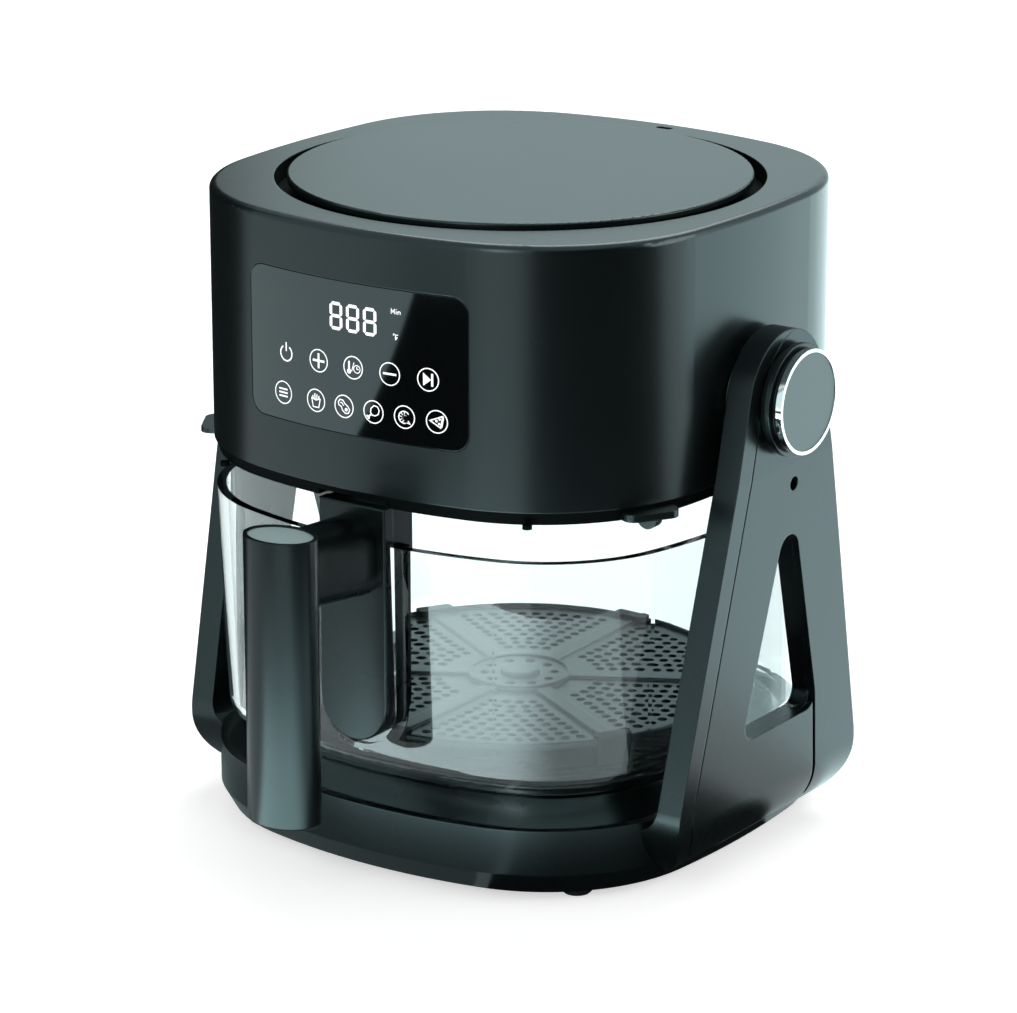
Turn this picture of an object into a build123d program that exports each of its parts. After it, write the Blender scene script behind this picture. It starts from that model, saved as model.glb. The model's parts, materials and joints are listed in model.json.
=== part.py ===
from build123d import *
import math
import os

# Countertop air fryer with a tilting cooking head above a glass drawer bowl.
# Origin: on the table, under the middle of the head. +Z up, front is -Y, the right arm is +X. Millimetres.

# Rounded-square plans: half width, half depth, radius of side walls, radius of front and back walls, corner radius
HEAD_PLAN = (117.5, 119.5, 441.0, 248.0, 80.0)
BOWL_PLAN = (117.6, 118.0, 238.0, 225.0, 69.0)
BASE_PLAN = (118.0, 118.0, 441.0, 248.0, 78.0)

# Heights, each stacked on the one before
FRAME_BOTTOM = 4.0
BASE_HEIGHT = 28.5
DISH_DEPTH = 3.5
SEAT_RISE = 11.0
SEAT_RING_HEIGHT = 1.4
BOWL_HEIGHT = 105.1
RIM_TO_HEAD = 16.2
SKIRT_HEIGHT = 5.3
SHELL_HEIGHT = 109.1
PIVOT_RISE = 38.2

# Clearances
RUNNING_FIT = 0.05
SEAT_GAP = 0.3
PANEL_GAP = 0.3
TRIM_GAP = 0.8
DRAWER_GAP = 0.2

# Levels above the table that follow
BASE_WALL_TOP = FRAME_BOTTOM + BASE_HEIGHT
DISH_FLOOR = BASE_WALL_TOP - DISH_DEPTH
SEAT_TOP = DISH_FLOOR + SEAT_RISE
BOWL_BOTTOM = SEAT_TOP + SEAT_RING_HEIGHT + DRAWER_GAP
BOWL_RIM = BOWL_BOTTOM + BOWL_HEIGHT
HEAD_BOTTOM = BOWL_RIM + RIM_TO_HEAD
SKIRT_TOP = HEAD_BOTTOM + SKIRT_HEIGHT
HEAD_TOP = SKIRT_TOP + SHELL_HEIGHT
PIVOT_HEIGHT = HEAD_BOTTOM + PIVOT_RISE

# Head shell
SHELL_WALL = 3.2
DECK_THICKNESS = 3.0
TOP_EDGE_ROUND = 3.0
DECK_MARGIN = 14.3
RECESS_RADIUS = HEAD_PLAN[0] - DECK_MARGIN
RECESS_WALL = 2.4
RECESS_DEPTH = 12.3
RECESS_FLOOR = HEAD_TOP - RECESS_DEPTH
DECK_SLOT = (8.0, 3.6)
DECK_SLOT_INSET = 9.5
DECK_SLOT_Y = HEAD_PLAN[1] - DECK_SLOT_INSET
BOSS_RADIUS = 22.0
BOSS_PROUD = 1.0
BOSS_FACE = HEAD_PLAN[0] + BOSS_PROUD
BOSS_DEPTH = 15.0

# Air inlet on top
GRILLE_THICKNESS = 2.5
GRILLE_SLOTS = 18
GRILLE_SLOT = (26.0, 5.0)
GRILLE_SLOT_RADIUS = 76.0
CAP_GAP = 5.4
CAP_RADIUS = RECESS_RADIUS - CAP_GAP
CAP_PROUD = 1.8
CAP_TOP = HEAD_TOP + CAP_PROUD
CAP_THICKNESS = 3.0
CAP_EDGE_ROUND = 0.8
CAP_RIB_INSET = 9.8
CAP_RIB_RADIUS = CAP_RADIUS - CAP_RIB_INSET
CAP_RIB_WALL = 2.0
CAP_RIB_DEPTH = 4.0
CAP_POSTS = 6
CAP_POST_RADIUS = 4.0
CAP_POST_CIRCLE = 50.0

# Control panel
PANEL_WIDTH = 109.0
PANEL_HEIGHT = 63.0
PANEL_ABOVE_MIDDLE = 0.55
PANEL_CENTRE_Z = (SKIRT_TOP + HEAD_TOP) / 2 + PANEL_ABOVE_MIDDLE
PANEL_CORNER = 7.0
PANEL_THICKNESS = 2.0
BOARD_MARGIN = (6.5, 4.5)
BOARD_THICKNESS = 1.6
BOARD_POST_RADIUS = 3.0
BOARD_POST_INSET = 5.0
BOARD_SETBACK = 8.0

# Skirt and lower pan
SKIRT_TAPER = 1.6
SKIRT_PARTING = 0.5
PAN_THICKNESS = 4.0
CHAMBER_MARGIN = 20.5
CHAMBER_RADIUS = HEAD_PLAN[0] - CHAMBER_MARGIN
SKIRT_NOTCH_HEIGHT = 2.5
SKIRT_NOTCH_DEPTH = 30.0
SKIRT_LIP = 4.0
STOP_NUB_RADIUS = 2.0
STOP_NUB_DROP = 0.8
STOP_NUB_INSET = (40.6, 14.5)
STOP_NUB_PLACE = (HEAD_PLAN[0] - STOP_NUB_INSET[0], HEAD_PLAN[1] - STOP_NUB_INSET[1])

# Corner tabs of the head, with a half-round lug under the right one
TAB_DROP = 1.2
TAB_TOP = SKIRT_TOP - TAB_DROP
TAB_THICKNESS = 3.1
LEFT_TAB_THICKNESS = 2.1
TAB_WIDTH = 24.0
TAB_LENGTH = 30.0
TAB_ROUND = 5.0
TAB_ANGLE = -31.6
TAB_REACH = 18.5
TAB_OUTER_RADIUS = HEAD_PLAN[0] + TAB_REACH
LUG_RADIUS = 4.5
LUG_THICKNESS = 5.0
LUG_SETBACK = 5.5

# Heating chamber
REFLECTOR_SHEET = 1.2
REFLECTOR_FLANGE = 5.0
REFLECTOR_MOUTH_RADIUS = CHAMBER_RADIUS + 2.5 * REFLECTOR_SHEET
REFLECTOR_FLANGE_RADIUS = REFLECTOR_MOUTH_RADIUS + REFLECTOR_FLANGE
REFLECTOR_SLOPE = 16.0
REFLECTOR_TOP_RADIUS = REFLECTOR_MOUTH_RADIUS - REFLECTOR_SLOPE
CHAMBER_HEIGHT = 43.1
REFLECTOR_TOP = HEAD_BOTTOM + CHAMBER_HEIGHT
GUARD_THICKNESS = 2.0
GUARD_RINGS = 4
GUARD_FIRST_RADIUS = 30.0
GUARD_PITCH = 17.0
GUARD_RING_WIDTH = 2.2
GUARD_RIM = 3.0
GUARD_SPOKES = 6
GUARD_SPOKE_WIDTH = 3.0
ELEMENT_DROP = 30.0
ELEMENT_LEVEL = REFLECTOR_TOP - ELEMENT_DROP
ELEMENT_RADIUS = 3.2
ELEMENT_SIDES = 8
ELEMENT_FIRST_RADIUS = 38.0
ELEMENT_PITCH = 13.0
ELEMENT_HALF_TURNS = 6
CLIP_COUNT = 3
CLIP_WIDTH = 4.0
CLIP_THICKNESS = 1.6
CLIP_OVERHANG = 8.0

# Fans and motor on one upright shaft, between the reflector and the inlet
SHAFT_RADIUS = 4.0
HOT_FAN_RADIUS = 56.0
HOT_FAN_DROP = 19.0
HOT_FAN_LEVEL = REFLECTOR_TOP - HOT_FAN_DROP
HOT_FAN_HEIGHT = 12.0
HOT_FAN_BLADES = 10
COOL_FAN_RADIUS = 52.0
COOL_FAN_DROP = 15.0
COOL_FAN_LEVEL = RECESS_FLOOR - COOL_FAN_DROP
COOL_FAN_HEIGHT = 9.0
COOL_FAN_BLADES = 8
FAN_HUB_RADIUS = 9.0
FAN_PLATE = 1.5
FAN_BLADE = 1.6
SHAFT_OVERHANG = 2.0
SHAFT_BOTTOM = HOT_FAN_LEVEL - SHAFT_OVERHANG
SHAFT_TOP = COOL_FAN_LEVEL + COOL_FAN_HEIGHT + SHAFT_OVERHANG
MOTOR_RADIUS = 30.0
MOTOR_STAND = 8.0
MOTOR_BOTTOM = REFLECTOR_TOP + MOTOR_STAND
FAN_TO_MOTOR = 7.0
MOTOR_TOP = COOL_FAN_LEVEL - FAN_TO_MOTOR
BRACKET_THICKNESS = 2.0
BRACKET_RADIUS = 40.0
BRACKET_LEGS = 4
BRACKET_LEG_RADIUS = 3.0
BRACKET_LEG_CIRCLE = BRACKET_RADIUS - BRACKET_LEG_RADIUS - 1
SENSOR_RADIUS = 2.5
SENSOR_HEAD_RADIUS = 6.0
SENSOR_HEAD_HEIGHT = 5.0
SENSOR_LENGTH = 14.0
SENSOR_INSET = 14.0

# Pivots: axle, hub flange, bush and knob
AXLE_RADIUS = 8.0
AXLE_DEPTH = 12.0
AXLE_INNER_END = BOSS_FACE - AXLE_DEPTH
HUB_RADIUS = 20.0
HUB_THICKNESS = 2.7
BUSH_WALL = 3.0
ARM_THICKNESS = 11.3
ARM_INNER = BOSS_FACE + HUB_THICKNESS + SEAT_GAP
ARM_OUTER = ARM_INNER + ARM_THICKNESS
ARM_LEAN = 2.2
ARM_LEAN_DROP = 29.1
ARM_LEAN_TOP = PIVOT_HEIGHT - ARM_LEAN_DROP
KNOB_BASE_RADIUS = 21.5
KNOB_BASE_THICKNESS = 2.9
KNOB_FLANGE_RADIUS = 23.6
KNOB_FLANGE_THICKNESS = 2.5
KNOB_NECK_RADIUS = 20.5
KNOB_REACH = 10.4
KNOB_FACE = ARM_OUTER + KNOB_REACH
KNOB_RING_RADIUS = 21.9
KNOB_RING_THICKNESS = 2.8
KNOB_RING_WALL = 1.4
KNOB_RING_NOTCH = 3.0
KNOB_CAP_SETBACK = 0.4
KNOB_CAP_THICKNESS = 1.6

# Side profile of the arms: a round top about the pivot that flares into feet
ARM_TOP_RADIUS = 28.7
ARM_FLARE = 13.5
ARM_FOOT_ROUND = 28.0
ARM_BOTTOM_ROUND = 28.0
INNER_CORNER = 12.0
INNER_FLOOR_DROP = 1.0
INNER_FLOOR = DISH_FLOOR - INNER_FLOOR_DROP

# Arm cover, window and small hole
COVER_THICKNESS = 3.0
COVER_SETBACK = 10.5
WINDOW_RISE = 24.5
WINDOW_BOTTOM = BASE_WALL_TOP + WINDOW_RISE
WINDOW_TOP_DROP = 67.6
WINDOW_TOP_Z = PIVOT_HEIGHT - WINDOW_TOP_DROP
WINDOW_TOP_RADIUS = 7.5
WINDOW_HALF_WIDTH = 29.5
WINDOW_CENTRE_Y = 6.0
WINDOW_CORNER = 6.5
ARM_HOLE_RADIUS = 3.0
ARM_HOLE_Y = 7.0
ARM_HOLE_DROP = 38.1
ARM_HOLE_Z = PIVOT_HEIGHT - ARM_HOLE_DROP
COVER_SLOT_WIDTH = 2.0
COVER_SLOT_Y = WINDOW_CENTRE_Y + WINDOW_HALF_WIDTH + 0.5
COVER_SLOT_SLOPE = 6.0

# Base
BASE_WALL = 3.5
BASE_TAPER = 5.0
BASE_TAPER_HEIGHT = 9.0
PEDESTAL_MARGIN = 21.0
PEDESTAL_SPREAD = 9.0
SEAT_RING_INSET = 28.0
SEAT_RING_RADIUS = BASE_PLAN[0] - SEAT_RING_INSET
SEAT_RING_WIDTH = 5.0
COVER_PLATE = 2.5
COVER_INSET = 9.0
FOOT_RADIUS = 6.5
FOOT_EDGE = 1.0
FOOT_PLACE = (84.0, 79.0)
SCREW_RADIUS = 3.0
SCREW_HEAD = 1.6
SCREW_PLACES = ((60.0, 92.0), (0.0, 96.0))
GLAND_RADIUS = 6.0
GLAND_REACH = 4.0
GLAND_RISE = 14.0
GLAND_Z = FRAME_BOTTOM + GLAND_RISE

# Glass bowl
GLASS = 4.0
BOWL_DRAFT = 2.0
BOWL_CORNER = 12.0
BOWL_INNER_CORNER = 8.0

# Handle
PLATE_PROUD = 1.5
PLATE_FRONT = BOWL_PLAN[1] + PLATE_PROUD
PLATE_THICKNESS = 6.0
PLATE_WIDTH = 33.4
PLATE_TO_GLASS = 1.3
HANDLE_RECESS_RISE = 16.4
HANDLE_RECESS_WIDTH = PLATE_WIDTH + 2 * PLATE_TO_GLASS
HANDLE_RECESS_BOTTOM = BOWL_BOTTOM + HANDLE_RECESS_RISE
PLATE_BOTTOM = HANDLE_RECESS_BOTTOM + 2.2 * PLATE_TO_GLASS
PLATE_TOP_GAP = 0.2
PLATE_TOP = HEAD_BOTTOM - PLATE_TOP_GAP
SKIRT_NOTCH_GAP = 1.5
SKIRT_NOTCH_WIDTH = PLATE_WIDTH + 2 * SKIRT_NOTCH_GAP
CLAMP_REACH = 19.6
CLAMP_BACK = PLATE_FRONT - CLAMP_REACH
CLAMP_NARROWER = 0.8
CLAMP_WIDTH = PLATE_WIDTH - CLAMP_NARROWER
CLAMP_BOTTOM = PLATE_BOTTOM + 2 * CLAMP_NARROWER
BRIDGE_DROP = 0.4
GRIP_STANDOFF = 46.5
GRIP_Y = PLATE_FRONT + GRIP_STANDOFF
GRIP_HALF_X = 16.4
GRIP_HALF_Y = 12.2
GRIP_WALL = 2.6
GRIP_LENGTH = 121.0
GRIP_TOP_DROP = 1.4
GRIP_TOP = HEAD_BOTTOM - GRIP_TOP_DROP
GRIP_BOTTOM = GRIP_TOP - GRIP_LENGTH
GRIP_SPLIT = 6.0
GRIP_SEAM = 0.4
GRIP_CAP_THICKNESS = 2.4
GRIP_CAP_SETBACK = 0.6
NECK_HALF_X = 13.0
NECK_HEIGHT = 35.0
NECK_DROP = 3.4
NECK_Z = GRIP_TOP - NECK_DROP - NECK_HEIGHT / 2
NECK_RISE = 3.6
NECK_SLIM = 2.0
HANDLE_SCREW_RADIUS = 2.0
HANDLE_SCREW_X = 8.0
HANDLE_SCREW_Z = (BOWL_RIM + PLATE_TOP) / 2

# Perforated rack with six ribs, a hub and block feet
RACK_RADIUS = 92.7
RACK_RISE = 10.1
RACK_TOP = BOWL_BOTTOM + GLASS + RACK_RISE
RACK_SHEET = 1.4
RACK_RIM_HEIGHT = 1.8
RACK_RIM_WALL = 2.0
RACK_CHANNELS = 6
RACK_CHANNEL_WIDTH = 9.0
RACK_CHANNEL_HEIGHT = 1.2
RACK_HUB_RADIUS = 22.5
RACK_HUB_RISE = 2.0
RACK_HUB_LIP = 2.0
RACK_HUB_HOLES = 10
RACK_HUB_HOLE_CIRCLE = 15.0
RACK_BUTTON_RADIUS = 8.5
RACK_BUTTON_RISE = 3.0
RACK_HOLE_RADIUS = 2.6
RACK_HOLE_SIDES = 8
RACK_HOLE_PITCH = 11.6
RACK_HOLE_ROWS = 5
RACK_FIRST_ROW = 33.0
RACK_LAST_ROW_INSET = 10.7
BUMPER_SIZE = (6.0, 16.0)
BUMPER_ROUND = 2.0
BUMPER_INSET = 2.4
BUMPER_CIRCLE = RACK_RADIUS - BUMPER_INSET


def outline(plan, inset=0.0):
    """Rounded square of eight tangent arcs, drawn inwards by inset."""
    half_x, half_y, side_radius, front_radius, corner_radius = plan
    side_centre = Vector(half_x - side_radius, 0)
    front_centre = Vector(0, half_y - front_radius)
    gap = front_centre - side_centre
    to_side = side_radius - corner_radius
    to_front = front_radius - corner_radius
    along = (to_side**2 - to_front**2 + gap.length**2) / (2 * gap.length)
    across = math.sqrt(to_side**2 - along**2)
    unit = gap.normalized()
    corner = side_centre + unit * along + Vector(-unit.Y, unit.X) * across
    from_side = (corner - side_centre).normalized()
    from_front = (corner - front_centre).normalized()
    side_end = corner + from_side * (corner_radius - inset)
    front_end = corner + from_front * (corner_radius - inset)
    corner_mid = corner + (from_side + from_front).normalized() * (corner_radius - inset)
    right = (half_x - inset, 0)
    back = (0, half_y - inset)

    def at(point, sx, sy):
        return (point[0] * sx, point[1] * sy)

    side = (side_end.X, side_end.Y)
    front = (front_end.X, front_end.Y)
    mid = (corner_mid.X, corner_mid.Y)
    edges = [
        ThreePointArc(at(side, 1, -1), right, side),
        ThreePointArc(side, mid, front),
        ThreePointArc(front, back, at(front, -1, 1)),
        ThreePointArc(at(front, -1, 1), at(mid, -1, 1), at(side, -1, 1)),
        ThreePointArc(at(side, -1, 1), at(right, -1, 1), at(side, -1, -1)),
        ThreePointArc(at(side, -1, -1), at(mid, -1, -1), at(front, -1, -1)),
        ThreePointArc(at(front, -1, -1), at(back, 1, -1), at(front, 1, -1)),
        ThreePointArc(at(front, 1, -1), at(mid, 1, -1), at(side, 1, -1)),
    ]
    return make_face(edges)


def prism(face, low, high):
    """Upright solid of a plan face between two levels."""
    return Pos(0, 0, low) * extrude(face, high - low)


def frustum(plan, low_inset, low, high_inset, high):
    """Sloping ring wall between two parallel outlines of one plan."""
    faces = [Pos(0, 0, low) * outline(plan, low_inset), Pos(0, 0, high) * outline(plan, high_inset)]
    return loft(faces, ruled=True)


def disc(radius, low, high, x=0.0, y=0.0):
    return Pos(x, y, low) * extrude(Circle(radius), high - low)


def ring(outer, inner, low, high):
    return Pos(0, 0, low) * extrude(Circle(outer) - Circle(inner), high - low)


def block(x0, x1, y0, y1, z0, z1):
    return Pos((x0 + x1) / 2, (y0 + y1) / 2, (z0 + z1) / 2) * Box(x1 - x0, y1 - y0, z1 - z0)


def along_x(radius, start, end, y=0.0, z=PIVOT_HEIGHT):
    """Round bar parallel to X between two X places."""
    return Pos((start + end) / 2, y, z) * Rot(0, 90, 0) * Cylinder(radius, abs(end - start))


def side_sketch(sketch, x0, x1):
    """Solid from a side-view sketch whose x is the object's Y and whose y is the object's Z."""
    return Plane.YZ.offset(x0) * extrude(sketch, x1 - x0)


def front_sketch(sketch, y0, y1):
    """Solid from a front-view sketch whose x is the object's X and whose y is the object's Z."""
    return Plane.XZ.offset(-y1) * extrude(sketch, y1 - y0)


def both_sides(shape):
    return Compound(children=[shape, mirror(shape, Plane.YZ)])


def four_corners(shape):
    pair = [shape, mirror(shape, Plane.YZ)]
    return pair + [mirror(one, Plane.XZ) for one in pair]


def make_head_shell():
    """Bowed outer wall with a flat deck and the round inlet recess."""
    body = prism(outline(HEAD_PLAN), SKIRT_TOP, HEAD_TOP)
    body = fillet(body.faces().sort_by(Axis.Z)[-1].edges(), TOP_EDGE_ROUND)
    body -= prism(outline(HEAD_PLAN, SHELL_WALL), SKIRT_TOP, HEAD_TOP - DECK_THICKNESS)
    body += disc(RECESS_RADIUS + RECESS_WALL, RECESS_FLOOR, HEAD_TOP - DECK_THICKNESS)
    body -= disc(RECESS_RADIUS, RECESS_FLOOR + GRILLE_THICKNESS, HEAD_TOP)
    body -= disc(RECESS_RADIUS - RECESS_WALL, RECESS_FLOOR, HEAD_TOP)
    slot = RectangleRounded(DECK_SLOT[0], DECK_SLOT[1], DECK_SLOT[1] / 2 - 0.1)
    body -= Pos(0, DECK_SLOT_Y, 0) * prism(slot, HEAD_TOP - DECK_THICKNESS, HEAD_TOP)
    boss = along_x(BOSS_RADIUS, BOSS_FACE - BOSS_DEPTH, BOSS_FACE)
    axle_hole = along_x(AXLE_RADIUS, BOSS_FACE - BOSS_DEPTH, BOSS_FACE)
    body += boss
    body += mirror(boss, Plane.YZ)
    body -= axle_hole
    body -= mirror(axle_hole, Plane.YZ)
    body -= panel_solid(PANEL_GAP)
    for post in board_posts():
        body += post
    return body


def panel_solid(gap=0.0):
    """Curved control glass let into the front wall, or the pocket for it when a gap is given."""
    sketch = RectangleRounded(PANEL_WIDTH + 2 * gap, PANEL_HEIGHT + 2 * gap, PANEL_CORNER + gap)
    window = front_sketch(Pos(0, PANEL_CENTRE_Z) * sketch, -HEAD_PLAN[1] - 1, -HEAD_PLAN[1] / 2)
    low = PANEL_CENTRE_Z - PANEL_HEIGHT
    high = PANEL_CENTRE_Z + PANEL_HEIGHT
    skin = prism(outline(HEAD_PLAN), low, high) - prism(outline(HEAD_PLAN, PANEL_THICKNESS), low, high)
    return skin & window


def board_face_y():
    return -HEAD_PLAN[1] + SHELL_WALL + BOARD_SETBACK


def board_size():
    return PANEL_WIDTH - 2 * BOARD_MARGIN[0], PANEL_HEIGHT - 2 * BOARD_MARGIN[1]


def board_posts():
    width, height = board_size()
    across = width / 2 - BOARD_POST_INSET
    up = height / 2 - BOARD_POST_INSET
    posts = []
    for x in (-across, across):
        for z in (-up, up):
            start = -HEAD_PLAN[1] + PANEL_THICKNESS + 0.6
            length = board_face_y() - start
            place = Pos(x, start + length / 2, PANEL_CENTRE_Z + z)
            post = place * Rot(90, 0, 0) * Cylinder(BOARD_POST_RADIUS, length)
            low = PANEL_CENTRE_Z - PANEL_HEIGHT
            posts.append(post & prism(outline(HEAD_PLAN, PANEL_THICKNESS + 0.5), low, low + 2 * PANEL_HEIGHT))
    return posts


def make_control_board():
    width, height = board_size()
    y = board_face_y()
    low = PANEL_CENTRE_Z - height / 2
    return block(-width / 2, width / 2, y, y + BOARD_THICKNESS, low, low + height)


def make_inlet_grille():
    """Slotted floor of the recess, where air is drawn in."""
    top = RECESS_FLOOR + GRILLE_THICKNESS
    plate = disc(RECESS_RADIUS - SEAT_GAP, top, top + GRILLE_THICKNESS)
    slot = RectangleRounded(GRILLE_SLOT[0], GRILLE_SLOT[1], GRILLE_SLOT[1] / 2 - 0.1)
    cut = prism(slot, top, top + GRILLE_THICKNESS)
    for place in PolarLocations(GRILLE_SLOT_RADIUS, GRILLE_SLOTS):
        plate -= place * cut
    return plate


def make_inlet_cap():
    """Round top plate that floats over the grille on posts, with an air gap all round."""
    plate = disc(CAP_RADIUS, CAP_TOP - CAP_THICKNESS, CAP_TOP)
    plate = fillet(plate.faces().sort_by(Axis.Z)[-1].edges(), CAP_EDGE_ROUND)
    under = CAP_TOP - CAP_THICKNESS
    plate += ring(CAP_RIB_RADIUS, CAP_RIB_RADIUS - CAP_RIB_WALL, under - CAP_RIB_DEPTH, under)
    foot = RECESS_FLOOR + 2 * GRILLE_THICKNESS
    for place in PolarLocations(CAP_POST_CIRCLE, CAP_POSTS):
        plate += place * disc(CAP_POST_RADIUS, foot, under)
    return plate


def make_skirt():
    """Dark lower ring and pan of the head, with the notch over the handle."""
    wall = skirt_block()
    wall -= prism(outline(HEAD_PLAN, SHELL_WALL + SKIRT_LIP), HEAD_BOTTOM + PAN_THICKNESS, SKIRT_TOP)
    lip_outer = outline(HEAD_PLAN, SHELL_WALL + SEAT_GAP / 2)
    lip_inner = outline(HEAD_PLAN, SHELL_WALL + SKIRT_LIP)
    wall += prism(lip_outer - lip_inner, SKIRT_TOP, SKIRT_TOP + SKIRT_LIP)
    wall -= disc(CHAMBER_RADIUS, HEAD_BOTTOM, SKIRT_TOP)
    half = SKIRT_NOTCH_WIDTH / 2
    front = -HEAD_PLAN[1] - 1
    wall -= block(-half, half, front, front + SKIRT_NOTCH_DEPTH, HEAD_BOTTOM, HEAD_BOTTOM + SKIRT_NOTCH_HEIGHT)
    nub = disc(STOP_NUB_RADIUS, HEAD_BOTTOM - STOP_NUB_DROP, HEAD_BOTTOM + 1, *STOP_NUB_PLACE)
    for one in four_corners(nub):
        wall += one
    return wall


def skirt_block():
    return frustum(HEAD_PLAN, SKIRT_PARTING + SKIRT_TAPER, HEAD_BOTTOM, SKIRT_PARTING, SKIRT_TOP)


def make_tab(thickness):
    """Thumb tab at the right front corner of the head, seated against the skirt wall."""
    sketch = RectangleRounded(TAB_LENGTH, TAB_WIDTH, TAB_ROUND)
    place = Rot(0, 0, TAB_ANGLE) * Pos(TAB_OUTER_RADIUS - TAB_LENGTH / 2, 0, 0)
    return place * prism(sketch, TAB_TOP - thickness, TAB_TOP) - skirt_block()


def make_right_tab():
    """Right tab with the half-round lug under its outer edge."""
    lug = Pos(0, TAB_TOP - TAB_THICKNESS) * Circle(LUG_RADIUS)
    lug &= Pos(0, TAB_TOP - TAB_THICKNESS - LUG_RADIUS) * Rectangle(4 * LUG_RADIUS, 2 * LUG_RADIUS)
    lug = front_sketch(lug, -LUG_THICKNESS / 2, LUG_THICKNESS / 2)
    place = Rot(0, 0, TAB_ANGLE) * Pos(TAB_OUTER_RADIUS - LUG_SETBACK, 0, 0) * Rot(0, 0, -TAB_ANGLE)
    return make_tab(TAB_THICKNESS) + (place * lug - skirt_block())


def make_base_frame():
    """Dished base and two A-shaped arms in one moulding."""
    wall = frustum(BASE_PLAN, BASE_TAPER, FRAME_BOTTOM, 0, FRAME_BOTTOM + BASE_TAPER_HEIGHT)
    wall += prism(outline(BASE_PLAN), FRAME_BOTTOM + BASE_TAPER_HEIGHT, BASE_WALL_TOP)
    frame = wall + (arm_block() - arm_cavity())
    frame -= prism(outline(BASE_PLAN, BASE_WALL), DISH_FLOOR, BASE_WALL_TOP)
    inset = PEDESTAL_MARGIN
    pedestal = frustum(BASE_PLAN, inset - PEDESTAL_SPREAD, DISH_FLOOR, inset, SEAT_TOP)
    frame += pedestal
    low = FRAME_BOTTOM
    frame -= prism(outline(BASE_PLAN, COVER_INSET), low, DISH_FLOOR - BASE_WALL)
    frame -= prism(outline(BASE_PLAN, inset + BASE_WALL), low, SEAT_TOP - BASE_WALL)
    for side in (1, -1):
        frame -= cover_pocket(side)
        frame -= window_solid(side, 0)
        hole_start = side * (ARM_OUTER - 2 * COVER_THICKNESS)
        frame -= along_x(ARM_HOLE_RADIUS, hole_start, side * ARM_OUTER, ARM_HOLE_Y, ARM_HOLE_Z)
        frame -= along_x(AXLE_RADIUS + RUNNING_FIT + BUSH_WALL, side * (ARM_INNER - 1), side * (ARM_OUTER + 1))
    for x, y in SCREW_PLACES:
        boss = disc(2 * SCREW_RADIUS, FRAME_BOTTOM + COVER_PLATE, DISH_FLOOR - BASE_WALL, x, y)
        for one in four_corners(boss) if x else [boss, mirror(boss, Plane.XZ)]:
            frame += one
    frame -= gland_solid(0)
    return frame


def arm_profile():
    """Side view of an arm: circle about the pivot with tangent flanks that flare downwards."""
    slope = math.radians(ARM_FLARE)
    touch_y = ARM_TOP_RADIUS * math.cos(slope)
    touch_z = PIVOT_HEIGHT + ARM_TOP_RADIUS * math.sin(slope)
    foot_y = touch_y + (touch_z - FRAME_BOTTOM) * math.tan(slope)
    flanks = Polygon(
        (touch_y, touch_z), (-touch_y, touch_z), (-foot_y, FRAME_BOTTOM), (foot_y, FRAME_BOTTOM), align=None
    )
    profile = flanks + Pos(0, PIVOT_HEIGHT) * Circle(ARM_TOP_RADIUS)
    lowest = profile.vertices().sort_by(Axis.Y)[:2]
    return fillet(lowest, ARM_FOOT_ROUND)


def leaning_view(half, low, corner):
    """Front view as wide as half at the pivots, drawn in slightly towards low, with round lower corners."""
    high = PIVOT_HEIGHT + 2 * ARM_TOP_RADIUS
    foot = half - (ARM_LEAN_TOP - low) * math.tan(math.radians(ARM_LEAN))
    right = [(foot, low), (half, ARM_LEAN_TOP), (half, high)]
    left = [(-x, z) for x, z in reversed(right)]
    sketch = Polygon(*right, *left, align=None)
    lowest = sketch.vertices().sort_by(Axis.Y)[:2]
    return fillet(lowest, corner)


def arm_front_view(inset=0.0):
    """Front view of both arms as one block with large lower corners."""
    return leaning_view(ARM_OUTER - inset, FRAME_BOTTOM + inset, ARM_BOTTOM_ROUND - inset)


def arm_block():
    profile = side_sketch(arm_profile(), -ARM_OUTER, ARM_OUTER)
    half = PIVOT_HEIGHT
    return profile & front_sketch(arm_front_view(), -half, half)


def arm_cavity():
    """Room between the arms for the head and the bowl, with round lower corners."""
    half = PIVOT_HEIGHT
    return front_sketch(leaning_view(ARM_INNER, INNER_FLOOR, INNER_CORNER), -half, half)


def window_sketch(grow=0.0):
    """Tall triangular window with a round top and round lower corners."""
    top_radius = WINDOW_TOP_RADIUS + grow
    rise = WINDOW_TOP_Z - WINDOW_BOTTOM
    lean = math.atan((WINDOW_HALF_WIDTH - WINDOW_TOP_RADIUS) / rise)
    touch_y = top_radius * math.cos(lean)
    touch_z = WINDOW_TOP_Z + top_radius * math.sin(lean)
    low = WINDOW_BOTTOM - grow
    foot_y = touch_y + (touch_z - low) * math.tan(lean)
    flanks = Polygon((touch_y, touch_z), (-touch_y, touch_z), (-foot_y, low), (foot_y, low), align=None)
    sketch = flanks + Pos(0, WINDOW_TOP_Z) * Circle(top_radius)
    lowest = sketch.vertices().sort_by(Axis.Y)[:2]
    return Pos(WINDOW_CENTRE_Y, 0) * fillet(lowest, WINDOW_CORNER + grow)


def window_solid(side, grow):
    start = ARM_INNER / 2 if side > 0 else -ARM_OUTER - 1
    return side_sketch(window_sketch(grow), start, start + ARM_OUTER + 1 - ARM_INNER / 2)


def cover_sketch(gap=0.0):
    """Arm profile less a strip along its front edge."""
    shifted = Pos(COVER_SETBACK - gap, 0) * arm_profile()
    return arm_profile() & shifted


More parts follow.
